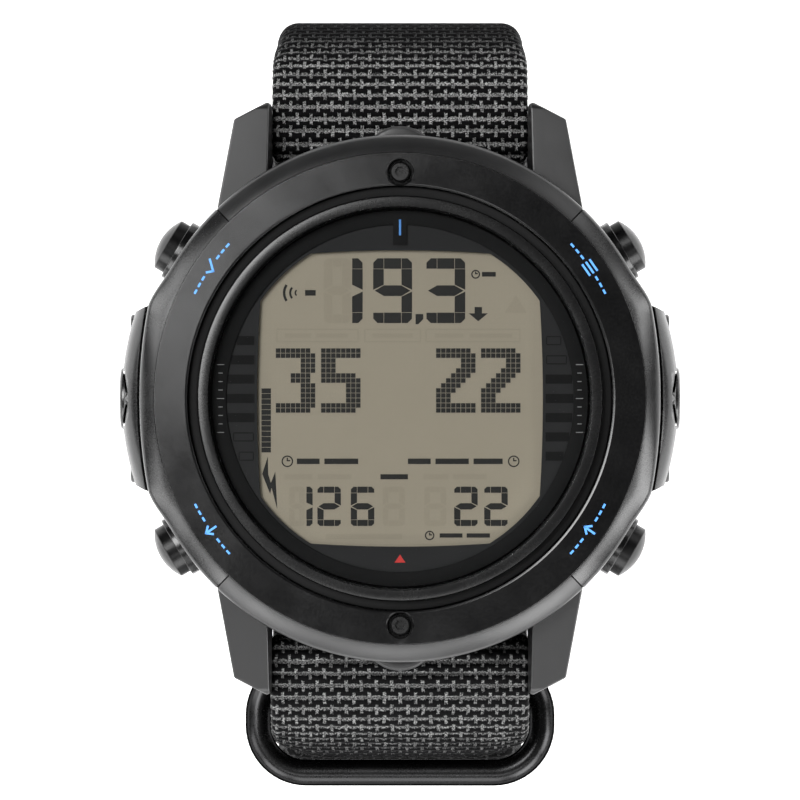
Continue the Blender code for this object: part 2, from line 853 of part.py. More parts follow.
def side_cover_screw(name, side, y):
    obj = screw_solid(SIDE_SCREW_HEAD_R, (0.0250, 0.0256), 0.0005, 0.0214, 0.0005, 12)
    along_x(obj, side, y, SIDE_SCREW_Z)
    return finish(lift(obj), name, steel())


# ---------------------------------------------------------------- buttons

def button_frame(sx, sy):
    """Takes +Z of a piece onto the button's outward axis."""
    a = math.radians(BUTTON_DEG)
    out = Vector((sx * math.cos(a), sy * math.sin(a), 0.0))
    base = Vector((-sx * math.sin(a), sy * math.cos(a), 0.0)) * BUTTON_OFFSET
    base.z = BUTTON_Z
    return Matrix.Translation(base) @ Vector((0, 0, 1)).rotation_difference(out).to_matrix().to_4x4()


def button_cap(name, sx, sy):
    profile = [
        (0.0, STEM_IN),
        (STEM_R, STEM_IN),
        (STEM_R, CAP_FROM),
        (CAP_R, CAP_FROM),
        (CAP_R, CAP_EDGE),
        (CAP_R * 0.7, CAP_EDGE + 0.00025),
        (CAP_R * 0.35, CAP_APEX - 0.00005),
        (0.0, CAP_APEX),
    ]
    obj = revolve_solid(profile, 18)
    place(obj, button_frame(sx, sy))
    lift(obj)
    root = button_frame(sx, sy) @ Vector((0.0, 0.0, CAP_FROM))
    root.z += BACK_Z
    place(obj, Matrix.Translation(-root))
    obj.location = root
    return finish(obj, name, black_metal())


def button_collar(name, sx, sy):
    profile = [
        (STEM_BORE_R, COLLAR_FROM),
        (COLLAR_R, COLLAR_FROM),
        (COLLAR_R, COLLAR_FACE),
        (COLLAR_BORE_R, COLLAR_FACE),
        (COLLAR_BORE_R, COLLAR_POCKET),
        (STEM_BORE_R, COLLAR_POCKET),
    ]
    obj = revolve(profile, 18)
    return finish(lift(place(obj, button_frame(sx, sy))), name, black_metal())


def button_spring(name, sx, sy):
    per_turn = 8
    count = per_turn * SPRING_TURNS
    low, high = SPRING_SPAN
    points = []
    for i in range(count + 1):
        a = 2 * math.pi * i / per_turn
        points.append((SPRING_R * math.cos(a), SPRING_R * math.sin(a), low + (high - low) * i / count))
    obj = tube(points, SPRING_WIRE_R, False, 1)
    return finish(lift(place(obj, button_frame(sx, sy))), name, steel())


# ---------------------------------------------------------------- strap


def spring_bar(name, sy):
    profile = [
        (BAR_BORE_R, -BAR_HALF_X),
        (BAR_R, -BAR_HALF_X),
        (BAR_R, BAR_HALF_X),
        (BAR_BORE_R, BAR_HALF_X),
    ]
    obj = along_x(revolve(profile, 16), 1, sy * BAR_Y, BAR_Z)
    return finish(lift(obj), name, steel())


def spring_bar_tip(name, sx, sy):
    obj = disc(TIP_R, TIP_IN_X, TIP_OUT_X, 12)
    along_x(obj, sx, sy * BAR_Y, BAR_Z)
    lift(obj)
    root = Vector((sx * TIP_OUT_X, sy * BAR_Y, BAR_Z + BACK_Z))
    place(obj, Matrix.Translation(-root))
    obj.location = root
    return finish(obj, name, steel())


def stack_arcs(offset, first_deg, last_deg, count):
    """The lower right of the loop: two arcs about their own centres, moved out by offset."""
    c1y, c1z, r1 = STACK_ARC
    r2 = STACK_OUTER_R
    t = math.radians(STACK_JOIN_DEG)
    c2y = c1y + (r1 - r2) * math.sin(t)
    c2z = c1z - (r1 - r2) * math.cos(t)
    points = []
    for i in range(count + 1):
        deg = first_deg + (last_deg - first_deg) * i / count
        a = math.radians(deg)
        if deg <= STACK_JOIN_DEG:
            points.append((c1y + (r1 + offset) * math.sin(a), c1z - (r1 + offset) * math.cos(a)))
        else:
            points.append((c2y + (r2 + offset) * math.sin(a), c2z - (r2 + offset) * math.cos(a)))
    return points


def main_centreline():
    hy, hz = HINGE_BAR
    fold = stack_arcs(-0.00295, 26.0, 17.0, 3)
    points = list(fold)
    points += arc(hy, hz, 0.0021, 48.0, 270.0, 12)
    points += stack_arcs(-0.00105, 4.0, 64.0, 12)
    points += smooth(
        (
            (0.0291, 0.0145),
            (0.0313, 0.0202),
            (0.0335, 0.0260),
            (0.0351, 0.0310),
            (0.0356, 0.0352),
            (0.0351, 0.0392),
            (0.0334, 0.0434),
            (0.0310, 0.0465),
            (0.0288, 0.0480),
            (0.0268, 0.0485),
        ),
        3,
    )
    bar = BACK_Z + BAR_Z
    points += arc(BAR_Y, bar, 0.0020, 90.0, 180.0, 5)
    points += arc(0.0213, 0.0429, 0.0020, 0.0, -90.0, 5)
    points += arc(-0.0213, 0.0429, 0.0020, -90.0, -180.0, 5)
    points += arc(-BAR_Y, bar, 0.0020, 0.0, 90.0, 5)
    points += smooth(
        (
            (-0.0268, 0.0485),
            (-0.0288, 0.0480),
            (-0.0309, 0.0463),
            (-0.0328, 0.0427),
            (-0.0336, 0.0395),
            (-0.0340, 0.0368),
            (-0.0344, 0.0310),
            (-0.0341, 0.0245),
            (-0.0318, 0.0165),
            (-0.0275, 0.0092),
            (-0.0220, 0.0041),
            (-0.0170, 0.0015),
            (-0.0130, 0.0008),
        ),
        3,
    )
    points += smooth(((-0.0030, 0.0008), (-0.0018, 0.0012), (-0.0002, 0.0029), (0.0010, 0.0042)), 3)
    fy, fz = FRONT_BAR
    points += arc(fy, fz, 0.0022, 125.0, 55.0, 4)
    points += smooth(((0.0055, 0.0038), (0.0078, 0.0019), (0.0092, 0.0010), (0.0104, 0.0008)), 3)
    points += stack_arcs(0.00105, 0.0, 67.0, 14)
    return points


def strap_main():
    obj = ribbon(main_centreline(), MAIN_T, STRAP_HALF_X, main_pinch)
    obj.name = "strap_main"
    cut(obj, box((-0.0009, 0.0009), (0.0060, 0.0098), (-0.001, 0.0048)))
    hy, hz = HINGE_BAR
    cut(obj, box((-0.0013, 0.0013), (hy - 0.0040, hy + 0.0024), (0.00195, hz + 0.0040)))
    return finish(obj, "strap_main", webbing())


def strap_under():
    points = [(0.0283, 0.0180), (0.0306, 0.0238)]
    points += arc(0.0260, 0.0319, 0.0072, -22.0, 90.0, 12)
    points += arc(RING_BAR_Y, RING_Z, 0.00215, 90.0, 262.0, 10)
    points += smooth(((-0.0245, 0.0352), (-0.0215, 0.0369), (-0.0190, 0.0374), (-0.0120, 0.0374)), 3)
    return finish(ribbon(points, UNDER_T, STRAP_HALF_X, under_pinch), "strap_under", webbing())


def ring_points(half_x, half_d, corner):
    """A rounded rectangle of bar centres, x across and d through."""
    points = []
    for cx, cd, start in ((1, 1, 0), (-1, 1, 90), (-1, -1, 180), (1, -1, 270)):
        for i in range(6):
            a = math.radians(start + 90.0 * i / 5)
            points.append(
                (
                    cx * (half_x - corner) + corner * math.cos(a),
                    cd * (half_d - corner) + corner * math.sin(a),
                )
            )
    return points


def ring_solid(half_x, half_d, corner, wire_r, y, z, deg):
    """A wire ring whose d axis points at deg from +Y towards +Z."""
    a = math.radians(deg)
    flat = ring_points(half_x - wire_r, half_d - wire_r, corner)
    points = [(x, y + d * math.cos(a), z + d * math.sin(a)) for x, d in flat]
    return tube(points, wire_r, True, 2)


def at_pivot(obj, pivot):
    place(obj, Matrix.Translation(-Vector(pivot)))
    obj.location = pivot
    return obj


def strap_ring():
    obj = ring_solid(RING_HALF_X, RING_HALF_D, RING_CORNER_R, WIRE_R, RING_Y, RING_Z, 0.0)
    return finish(at_pivot(obj, (0.0, RING_BAR_Y, RING_Z)), "strap_ring", black_metal())


def keeper_ring(name, where):
    y, z, slope = where
    obj = ring_solid(KEEPER_HALF_X, KEEPER_HALF_D, KEEPER_CORNER_R, KEEPER_WIRE_R, y, z, slope - 90.0)
    return finish(at_pivot(obj, (0.0, y, z)), name, black_metal())


def buckle_frame():
    hy, hz = HINGE_BAR
    fy, fz = FRONT_BAR
    length = math.hypot(hy - fy, hz - fz)
    deg = math.degrees(math.atan2(hz - fz, hy - fy))
    mid_y, mid_z = (hy + fy) / 2, (hz + fz) / 2
    a = math.radians(deg)
    bar_x = FRAME_HALF_X - 0.0010
    flat = ring_points(bar_x, length / 2, FRAME_CORNER_R)
    points = [(x, mid_y + d * math.cos(a), mid_z + d * math.sin(a)) for x, d in flat]
    obj = tube(points, HINGE_BAR_R, True, 2)
    return finish(at_pivot(obj, (0.0, hy, hz)), "buckle_frame", black_metal())


def buckle_prong():
    hy, hz = HINGE_BAR
    eye = revolve([(0.0012, -0.0008), (0.0018, -0.0008), (0.0018, 0.0008), (0.0012, 0.0008)], 16)
    eye.name = "buckle_prong"
    along_x(eye, 1, hy, hz)
    tail = ((0.0103, 0.0040), (0.0078, 0.0026), (0.0052, 0.0011), (0.0030, 0.00085), (0.0014, 0.00085))
    path = smooth(((hy - 0.0014, hz - 0.0003), *tail), 3)
    arm = tube([(0.0, y, z) for y, z in path], PRONG_R, False, 2)
    unite(eye, arm)
    return finish(at_pivot(eye, (0.0, hy, hz)), "buckle_prong", steel())


def main():
    for obj in list(bpy.data.objects):
        bpy.data.objects.remove(obj)
    collection(PARTS)
    collection(CUTTERS)
    case_body()
    lug_bridge("lug_bridge_top", 1)
    lug_bridge("lug_bridge_bottom", -1)
    bezel()
    bezel_screw("bezel_screw_top", 1)
    bezel_screw("bezel_screw_bottom", -1)
    lens()
    lens_gasket()
    dial_mask()
    lcd_panel()
    lcd_frame()
    backlight_panel()
    zebra_strip("zebra_strip_top", 1)
    zebra_strip("zebra_strip_bottom", -1)
    main_board()
    antenna_coil()
    piezo_buzzer()
    pressure_sensor()
    battery()
    battery_holder()
    battery_contact_plus()
    battery_contact_minus()
    back_cover()
    back_cover_o_ring()
    for i, deg in enumerate(COVER_SCREW_DEG):
        back_cover_screw(f"back_cover_screw_{i + 1}", deg)
    for name, side in (("right", 1), ("left", -1)):
        side_cover("side_cover_" + name, side)
        side_cover_screw(f"side_cover_screw_{name}_top", side, SIDE_SCREW_Y)
        side_cover_screw(f"side_cover_screw_{name}_bottom", side, -SIDE_SCREW_Y)
    for name, (sx, sy) in zip(QUADRANT_NAMES, QUADRANTS):
        button_cap("button_cap_" + name, sx, sy)
        button_collar("button_collar_" + name, sx, sy)
        button_spring("button_spring_" + name, sx, sy)
        spring_bar_tip("spring_bar_tip_" + name, sx, sy)
    spring_bar("spring_bar_top", 1)
    spring_bar("spring_bar_bottom", -1)
    strap_main()
    strap_under()
    strap_ring()
    keeper_ring("keeper_ring_lower", KEEPER_A)
    keeper_ring("keeper_ring_upper", KEEPER_B)
    buckle_frame()
    buckle_prong()


main()
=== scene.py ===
"""Looks of the dive computer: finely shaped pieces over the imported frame, woven strap, display and studio."""

import math

import bmesh
import bpy
import numpy as np
from mathutils import Matrix, Vector


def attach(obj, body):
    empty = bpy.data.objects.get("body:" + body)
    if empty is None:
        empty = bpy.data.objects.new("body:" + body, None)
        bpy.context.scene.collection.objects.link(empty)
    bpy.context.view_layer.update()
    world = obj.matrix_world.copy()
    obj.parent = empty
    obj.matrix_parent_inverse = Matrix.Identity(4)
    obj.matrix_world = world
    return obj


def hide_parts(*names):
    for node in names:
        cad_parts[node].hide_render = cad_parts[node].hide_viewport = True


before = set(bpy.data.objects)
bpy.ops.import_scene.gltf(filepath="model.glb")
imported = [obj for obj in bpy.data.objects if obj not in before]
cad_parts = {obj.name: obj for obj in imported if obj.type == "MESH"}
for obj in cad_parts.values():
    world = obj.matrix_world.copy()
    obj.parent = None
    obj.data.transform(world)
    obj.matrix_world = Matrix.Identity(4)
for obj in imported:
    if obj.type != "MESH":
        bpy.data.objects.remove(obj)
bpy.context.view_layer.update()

# shapes are drawn in millimetres and scaled as they are placed
MM = 0.001
BACK_Z = 42.0
STEPS = 192
QUADRANTS = ((1, 1), (-1, 1), (-1, -1), (1, -1))
QUADRANT_NAMES = ("upper_right", "upper_left", "lower_left", "lower_right")
CUTTER_TURN = 0.31

# case
CASE_R = 24.95
SHOULDER_R = 23.27
SHOULDER_TOP = 14.6
SIDE_R = 23.4
SEAM_DEG = 45.8
LUG_OUTLINE = ((18.3, 13.0), (17.35, 17.8), (15.75, 26.5), (12.6, 28.15), (12.2, 27.9), (12.2, 15.0))
LUG_SIDE = ((15.0, 1.6), (20.5, 0.8), (26.5, 2.6), (28.2, 4.6), (28.2, 9.4), (27.6, 9.9), (15.0, 11.6))
FLANK_X = 24.65
FLANK_BOW = 0.85
FLANK_DEG = 20.5
COVER_HALF_Y = 8.94
COVER_SCREWS_Y = (7.0, -7.0)
COVER_SCREW_Z = 7.0
BEZEL_SCREW_Y = 21.4
BEZEL_IN_R = 20.3
BEZEL_TOP = 15.2
BACK_SCREW_R = 16.8
BACK_SCREW_DEGS = (45, 135, 225, 315)

# dial
MASK_TOP = 13.8
EDGE_TOP = 13.98
LCD_TOP = 13.2
PRINT = 0.02
CELL = 0.471
CELL_GAP = 0.022

# buttons
BUTTON_DEG = 30.5
BUTTON_OFFSET = 1.45
BUTTON_Z = 8.5
CAP_R = 2.57
CAP_TOP = 27.25
DOME_R = 4.4
COLLAR_TOP = 25.45

# strap, rings and buckle, in world millimetres
STRAP_HALF_X = 12.0
MAIN_T = 1.6
UNDER_T = 1.4
MAIN_PINCH = 2.1
UNDER_PINCH = 2.4
PINCH_REACH = 7.0
MAIN_PINCH_REACH = 5.0
BAR_Y = 25.3
BAR_Z = 4.5
WIRE_R = 1.15
RING_WIRE_R = 1.26
RING_HALF_X = 14.9
RING_HALF_D = 6.35
RING_CORNER_R = 4.6
RING_Y = -31.0
RING_Z = 36.95
RING_BAR_Y = RING_Y + RING_HALF_D - WIRE_R
KEEPER_WIRE_R = 0.9
KEEPER_HALF_X = 14.1
KEEPER_HALF_D = 4.1
KEEPER_CORNER_R = 2.4
KEEPERS = {"keeper_lower": (21.618, 4.107, 32.5), "keeper_upper": (24.895, 6.784, 46.0)}
BUCKLE_HALF_X = 13.2
BUCKLE_WIRE_R = 1.0
PRONG_R = 0.5
HINGE_BAR = (14.2, 5.0)
FRONT_BAR = (3.0, 2.75)

# weave of the webbing: pitch across, pitch along, half height of a light dash, then its cross tick
WEAVE_U = 1.44
WEAVE_V = 1.075
WEAVE_CROWD = 0.0005
DASH_HALF = 0.10
TICK_LONG = 0.36
TICK_HALF = 0.075
TICK_FLARE = 0.22
WEAVE_HIGH = 0.38
WEAVE_DEEP = 0.385


# ---- shape helpers


def link(obj):
    bpy.context.scene.collection.objects.link(obj)
    return obj


def mesh_object(name, verts, faces):
    mesh = bpy.data.meshes.new(name)
    mesh.from_pydata(verts, [], faces)
    mesh.update()
    return link(bpy.data.objects.new(name, mesh))


def settle(obj, weld=True):
    bpy.context.view_layer.update()
    graph = bpy.context.evaluated_depsgraph_get()
    mesh = bpy.data.meshes.new_from_object(obj.evaluated_get(graph))
    if weld:
        bm = bmesh.new()
        bm.from_mesh(mesh)
        bmesh.ops.remove_doubles(bm, verts=bm.verts, dist=1e-5)
        bmesh.ops.recalc_face_normals(bm, faces=bm.faces)
        bm.to_mesh(mesh)
        bm.free()
    if obj.type == "MESH":
        obj.modifiers.clear()
        obj.data = mesh
        return obj
    solid = link(bpy.data.objects.new(obj.name, mesh))
    bpy.data.objects.remove(obj)
    return solid


def place(obj, matrix):
    obj.data.transform(matrix)
    return obj


def turn_z(degrees):
    return Matrix.Rotation(math.radians(degrees), 4, "Z")


def fillet(points, radius, steps=4, closed=True):
    """The outline with its corners rounded; radius is one number, or one per corner."""
    out = []
    count = len(points)
    for i, point in enumerate(points):
        r = radius[i] if isinstance(radius, (list, tuple)) else radius
        p = Vector(point)
        if r <= 0.0 or (not closed and i in (0, count - 1)):
            out.append(tuple(p))
            continue
        a = Vector(points[i - 1]) - p
        b = Vector(points[(i + 1) % count]) - p
        half = max(0.05, a.angle(b) / 2.0)
        reach = min(r / math.tan(half), 0.48 * a.length, 0.48 * b.length)
        start = p + a.normalized() * reach
        end = p + b.normalized() * reach
        for k in range(steps + 1):
            t = k / steps
            out.append(tuple(start * (1 - t) ** 2 + p * 2 * t * (1 - t) + end * t * t))
    return out


def lathe(profile, closed=True, steps=STEPS):
    """A solid of revolution about Z; an open profile begins and ends on the axis."""
    verts = [(r, 0.0, z) for r, z in profile]
    last = len(verts) if closed else len(verts) - 1
    mesh = bpy.data.meshes.new("profile")
    mesh.from_pydata(verts, [(i, (i + 1) % len(verts)) for i in range(last)], [])
    obj = link(bpy.data.objects.new("profile", mesh))
    screw = obj.modifiers.new("Screw", "SCREW")
    screw.axis = "Z"
    screw.steps = steps
    screw.render_steps = steps
    screw.use_merge_vertices = True
    screw.merge_threshold = 1e-4
    return settle(obj)


def disc(radius, low, high, steps=48, edge=0.0):
    profile = [(0.0, low), (radius, low), (radius, high), (0.0, high)]
    if edge > 0.0:
        profile = fillet(profile, edge, 3, False)
    return place(lathe(profile, False, steps), turn_z(CUTTER_TURN))


def ring(inner, outer, low, high, edge=0.0, steps=STEPS):
    profile = [(inner, low), (outer, low), (outer, high), (inner, high)]
    return lathe(fillet(profile, edge, 3) if edge > 0.0 else profile, True, steps)


def skin(verts):
    """A closed solid from two matching outlines, one after the other in the list."""
    count = len(verts) // 2
    faces = [tuple(range(count)), tuple(range(count, 2 * count))]
    faces += [(i, (i + 1) % count, count + (i + 1) % count, count + i) for i in range(count)]
    return settle(mesh_object("skin", verts, faces))


def prism(outline, low, high):
    return skin([(x, y, low) for x, y in outline] + [(x, y, high) for x, y in outline])


def box(x, y, z):
    return prism(((x[0], y[0]), (x[1], y[0]), (x[1], y[1]), (x[0], y[1])), z[0], z[1])


def boolean(obj, other, operation):
    modifier = obj.modifiers.new(operation, "BOOLEAN")
    modifier.operation = operation
    modifier.solver = "EXACT"
    modifier.object = other
    settle(obj, weld=False)
    bpy.data.objects.remove(other)
    return obj


def cut(obj, other):
    return boolean(obj, other, "DIFFERENCE")


def unite(obj, other):
    return boolean(obj, other, "UNION")


def meet(obj, other):
    return boolean(obj, other, "INTERSECT")


def bevel(obj, width, segments=3, angle=30.0):
    modifier = obj.modifiers.new("Bevel", "BEVEL")
    modifier.width = width
    modifier.segments = segments
    modifier.limit_method = "ANGLE"
    modifier.angle_limit = math.radians(angle)
    modifier.harden_normals = False
    return settle(obj)


def join(pieces):
    """One mesh from several."""
    bm = bmesh.new()
    for piece in pieces:
        bm.from_mesh(piece.data)
    mesh = bpy.data.meshes.new("joined")
    bm.to_mesh(mesh)
    bm.free()
    for piece in pieces:
        bpy.data.objects.remove(piece)
    return link(bpy.data.objects.new("joined", mesh))


def polar(radius, degrees, x=0.0, y=0.0):
    a = math.radians(degrees)
    return (x + radius * math.cos(a), y + radius * math.sin(a))


def arc(x, y, radius, start, end, count):
    return [polar(radius, start + (end - start) * i / count, x, y) for i in range(count + 1)]


def circle(radius, steps):
    turn = 2 * math.pi / steps
    return [(radius * math.cos(turn * i), radius * math.sin(turn * i)) for i in range(steps)]


def sector(half_deg, radius, low, high):
    points = [(0.0, 0.0)] + arc(0.0, 0.0, radius, 90.0 - half_deg, 90.0 + half_deg, 24)
    return prism(points, low, high)


def shifted(obj, x, y):
    return place(obj, Matrix.Translation((x, y, 0.0)))


def half_turn(side):
    return turn_z(0 if side > 0 else 180)


def along_x(obj, sign, y, z):
    turn = Matrix.Rotation(sign * math.pi / 2, 4, "Y")
    return place(obj, Matrix.Translation((0.0, y, z)) @ turn)


def button_frame(sx, sy):
    c, s = polar(1.0, BUTTON_DEG)
    out = Vector((sx * c, sy * s, 0.0))
    base = Vector((-sx * s, sy * c, 0.0)) * BUTTON_OFFSET
    base.z = BUTTON_Z
    return Matrix.Translation(base) @ Vector((0, 0, 1)).rotation_difference(out).to_matrix().to_4x4()


def show(obj, name, mat, body, nodes=(), lifted=True, sharp=32.0):
    """Place a finished shape: name, finish, shading, the body it rides on and the nodes it stands for."""
    place(obj, Matrix.Scale(MM, 4) @ Matrix.Translation((0.0, 0.0, BACK_Z if lifted else 0.0)))
    obj.name = name
    obj.data.name = name
    obj.data.materials.clear()
    obj.data.materials.append(mat)
    obj.data.shade_smooth()
    obj.data.set_sharp_from_angle(angle=math.radians(sharp))
    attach(obj, body)
    if nodes:
        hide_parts(*nodes)
    return obj


def weighted(obj):
    modifier = obj.modifiers.new("WeightedNormal", "WEIGHTED_NORMAL")
    modifier.keep_sharp = True
    modifier.weight = 60
    return obj


# ---- materials


class Nodes:
    """A short way to write a material's node tree."""

    def __init__(self, name):
        self.mat = bpy.data.materials.new(name)
        self.mat.use_nodes = True
        self.tree = self.mat.node_tree
        self.bsdf = self.tree.nodes["Principled BSDF"]
        self.out = self.tree.nodes["Material Output"]

    def add(self, kind, **values):
        node = self.tree.nodes.new(kind)
        for key, value in values.items():
            if key in node.inputs:
                node.inputs[key].default_value = value
            else:
                setattr(node, key, value)
        return node

    def join(self, a, b):
        self.tree.links.new(a, b)

    def math(self, operation, a, b=None):
        node = self.add("ShaderNodeMath", operation=operation)
        for socket, value in zip(node.inputs, (a, b)):
            if value is None:
                continue
            if isinstance(value, (int, float)):
                socket.default_value = value
            else:
                self.join(value, socket)
        return node.outputs[0]

    def mul(self, a, b):
        return self.math("MULTIPLY", a, b)

    def plus(self, a, b):
        return self.math("ADD", a, b)

    def minus(self, a, b):
        return self.math("SUBTRACT", a, b)

    def noise(self, scale, detail=2.0, rough=0.5, vector=None):
        node = self.add("ShaderNodeTexNoise", Scale=scale, Detail=detail, Roughness=rough)
        self.join(vector if vector is not None else self.position(), node.inputs["Vector"])
        return node.outputs["Fac"]

    def stretched(self, vector, scale):
        node = self.add("ShaderNodeMapping", Scale=scale)
        self.join(vector, node.inputs["Vector"])
        return node.outputs["Vector"]

    def parts(self, vector):
        node = self.add("ShaderNodeSeparateXYZ")
        self.join(vector, node.inputs["Vector"])
        return node.outputs

    def feed(self, key, value):
        self.join(value, self.bsdf.inputs[key])

    def surface(self, **values):
        """Numbers and colours that are the same all over, set on the shader itself."""
        for key, value in values.items():
            self.bsdf.inputs[key.replace("_", " ")].default_value = value

    def position(self):
        if not hasattr(self, "_place"):
            self._place = self.add("ShaderNodeTexCoord").outputs["Object"]
        return self._place

    def span(self, value, low, high, to_low, to_high):
        node = self.add("ShaderNodeMapRange")
        self.join(value, node.inputs["Value"])
        for key, number in zip(("From Min", "From Max", "To Min", "To Max"), (low, high, to_low, to_high)):
            node.inputs[key].default_value = number
        return node.outputs["Result"]

    def colours(self, fac, a, b):
        node = self.add("ShaderNodeMix", data_type="RGBA")
        self.join(fac, node.inputs["Factor"])
        for socket, colour in zip((node.inputs[6], node.inputs[7]), (a, b)):
            if isinstance(colour, tuple):
                socket.default_value = (*colour, 1.0)
            else:
                self.join(colour, socket)
        return node.outputs[2]

    def bump(self, height, strength, distance):
        node = self.add("ShaderNodeBump", Strength=strength, Distance=distance)
        self.join(height, node.inputs["Height"])
        self.join(node.outputs["Normal"], self.bsdf.inputs["Normal"])


def grained(name, colour, spread, rough, grain=2600.0, depth=0.000002, specular=0.5, metallic=0.0, edge=1.0):
    """A finish with fine grain in its colour, roughness and surface; edge tints a metal's grazing shine."""
    n = Nodes(name)
    fine = n.noise(grain, 3.0, 0.6)
    broad = n.noise(grain * 0.06, 2.0)
    light = tuple(min(1.0, c * (1.0 + spread)) for c in colour)
    dark = tuple(c * (1.0 - spread) for c in colour)
    n.feed("Base Color", n.colours(n.math("MULTIPLY_ADD", fine, 0.6), dark, light))
    mixed = n.plus(n.mul(fine, 0.5), n.mul(broad, 0.5))
    n.feed("Roughness", n.span(mixed, 0.3, 0.7, rough - 0.05, rough + 0.05))
    n.surface(Metallic=metallic, Specular_IOR_Level=specular, Specular_Tint=(edge, edge, edge, 1.0))
    n.bump(fine, 0.25, depth)
    return n.mat


def brushed(name, colour, rough):
    """Turned or brushed bare metal."""
    n = Nodes(name)
    lines = n.noise(9000.0, 2.0, 0.5, n.stretched(n.position(), (1.0, 1.0, 0.08)))
    n.feed("Base Color", n.colours(lines, tuple(c * 0.8 for c in colour), colour))
    n.feed("Roughness", n.span(lines, 0.3, 0.7, rough - 0.08, rough + 0.08))
    n.surface(Metallic=1.0)
    n.bump(lines, 0.15, 0.00002)
    return n.mat


def glass_material():
    """Clear mineral glass: what is behind shows through, with a soft sheen that grows at grazing angles."""
    n = Nodes("mineral_glass_clear")
    n.tree.nodes.remove(n.bsdf)
    clear = n.add("ShaderNodeBsdfTransparent", Color=(0.97, 0.975, 0.975, 1.0))
    gloss = n.add("ShaderNodeBsdfGlossy")
    smudge = n.noise(180.0, 3.0)
    n.join(n.span(smudge, 0.3, 0.7, 0.05, 0.09), gloss.inputs["Roughness"])
    fresnel = n.add("ShaderNodeFresnel", IOR=1.45)
    mix = n.add("ShaderNodeMixShader")
    n.join(fresnel.outputs[0], mix.inputs[0])
    n.join(clear.outputs[0], mix.inputs[1])
    n.join(gloss.outputs[0], mix.inputs[2])
    n.join(mix.outputs[0], n.out.inputs["Surface"])
    return n.mat


def lcd_material():
    """Reflective liquid-crystal panel: warm grey with a faint fine matrix and slight unevenness."""
    n = Nodes("lcd_warm_grey")
    checker = n.add("ShaderNodeTexBrick", offset=0.0, Scale=1.0)
    for key, value in (("Brick Width", CELL * MM), ("Row Height", CELL * MM), ("Mortar Size", 0.00002)):
        checker.inputs[key].default_value = value
    cells = {"Color1": (0.330, 0.290, 0.220), "Color2": (0.328, 0.288, 0.218)}
    cells["Mortar"] = (0.316, 0.278, 0.211)
    for key, colour in cells.items():
        checker.inputs[key].default_value = (*colour, 1.0)
    n.join(n.position(), checker.inputs["Vector"])
    cloud = n.noise(160.0, 2.0)
    shade = n.colours(n.span(cloud, 0.3, 0.7, 0.0, 0.10), checker.outputs["Color"], (0.296, 0.260, 0.197))
    n.feed("Base Color", shade)
    n.feed("Roughness", n.span(cloud, 0.3, 0.7, 0.42, 0.5))
    n.surface(Specular_IOR_Level=0.25)
    return n.mat


def webbing_material():
    """Plain-woven nylon webbing: black yarn with melange grey dashes between its ribs, the grey dimmed by
    painted shade at the bends and towards the bottom.
    """
    n = Nodes("nylon_webbing_weave")
    uv = n.add("ShaderNodeUVMap", uv_map="weave").outputs["UV"]
    part = n.parts(uv)
    # the dashes wander a little along their rows, and crowd together towards the edges
    wander = n.minus(n.noise(1.0, 2.0, 0.5, n.stretched(uv, (0.25, 0.9, 1.0))), 0.5)
    drift = n.minus(n.noise(0.5, 2.0, 0.5, uv), 0.5)
    crowd = n.mul(n.mul(part["X"], part["X"]), WEAVE_CROWD)
    u = n.mul(part["X"], n.plus(crowd, 1.0))
    u = n.plus(u, n.mul(wander, 0.4))
    row = n.math("DIVIDE", n.plus(part["Y"], n.mul(drift, 0.22)), WEAVE_V)
    k = n.math("ROUND", row)
    t = n.mul(n.math("ABSOLUTE", n.minus(row, k)), WEAVE_V)
    odd = n.math("FLOORED_MODULO", k, 2.0)
    column = n.plus(n.plus(n.math("DIVIDE", u, WEAVE_U), n.mul(odd, 0.5)), 0.5)
    across = n.mul(n.math("ABSOLUTE", n.minus(n.math("FRACT", column), 0.5)), WEAVE_U)
    # a light dash on each row, with a short flared tick across it
    ragged = n.mul(n.minus(n.noise(4.5, 3.0, 0.7, uv), 0.5), 0.34)
    flare = n.minus(n.minus(across, n.mul(t, TICK_FLARE)), n.mul(ragged, 0.5))
    tick = n.span(flare, TICK_HALF - 0.03, TICK_HALF + 0.05, 1.0, 0.0)
    edge = n.plus(n.minus(t, n.mul(tick, TICK_LONG)), ragged)
    edge = n.minus(edge, n.mul(across, 0.13))
    light = n.span(edge, DASH_HALF - 0.03, DASH_HALF + 0.04, 1.0, 0.0)
    # melange yarn; its grey is dimmed by painted shade where the webbing turns down at both ends of the case,
    # and towards the bottom
    fibre = n.noise(5.5, 3.0, 0.75, n.stretched(uv, (1.0, 1.8, 1.0)))
    patch = n.noise(0.8, 2.0, 0.6, uv)
    grey_level = n.mul(n.span(fibre, 0.43, 0.60, 0.0, 1.0), n.span(patch, 0.3, 0.6, 0.5, 1.0))
    where_y = n.parts(n.position())["Y"]
    # painted shade: the grey fades where the webbing turns down past the lugs, in place of the ribs shading the
    # dashes
    grey_level = n.mul(grey_level, n.span(n.math("ABSOLUTE", where_y), 0.0318, 0.0350, 1.0, 0.12))
    # painted shade: the grey is darker towards the bottom (-Y) of the case
    grey_level = n.mul(grey_level, n.span(where_y, -0.030, 0.025, 0.55, 0.92))
    grey = n.colours(grey_level, (0.008, 0.008, 0.0085), (0.46, 0.46, 0.455))
    thread = n.noise(3.2, 3.0, 0.65, n.stretched(uv, (6.0, 1.0, 1.0)))
    black = n.colours(n.span(thread, 0.35, 0.7, 0.0, 1.0), (0.0005, 0.0005, 0.0006), (0.004, 0.004, 0.0043))
    n.feed("Base Color", n.colours(light, black, grey))
    n.feed("Roughness", n.span(thread, 0.3, 0.7, 0.55, 0.75))
    n.surface(Specular_IOR_Level=0.04)
    fine = n.plus(n.mul(thread, 0.6), n.mul(fibre, 0.4))
    n.bump(n.minus(fine, n.mul(light, 0.7)), 0.6, 0.00006)
    return n.mat


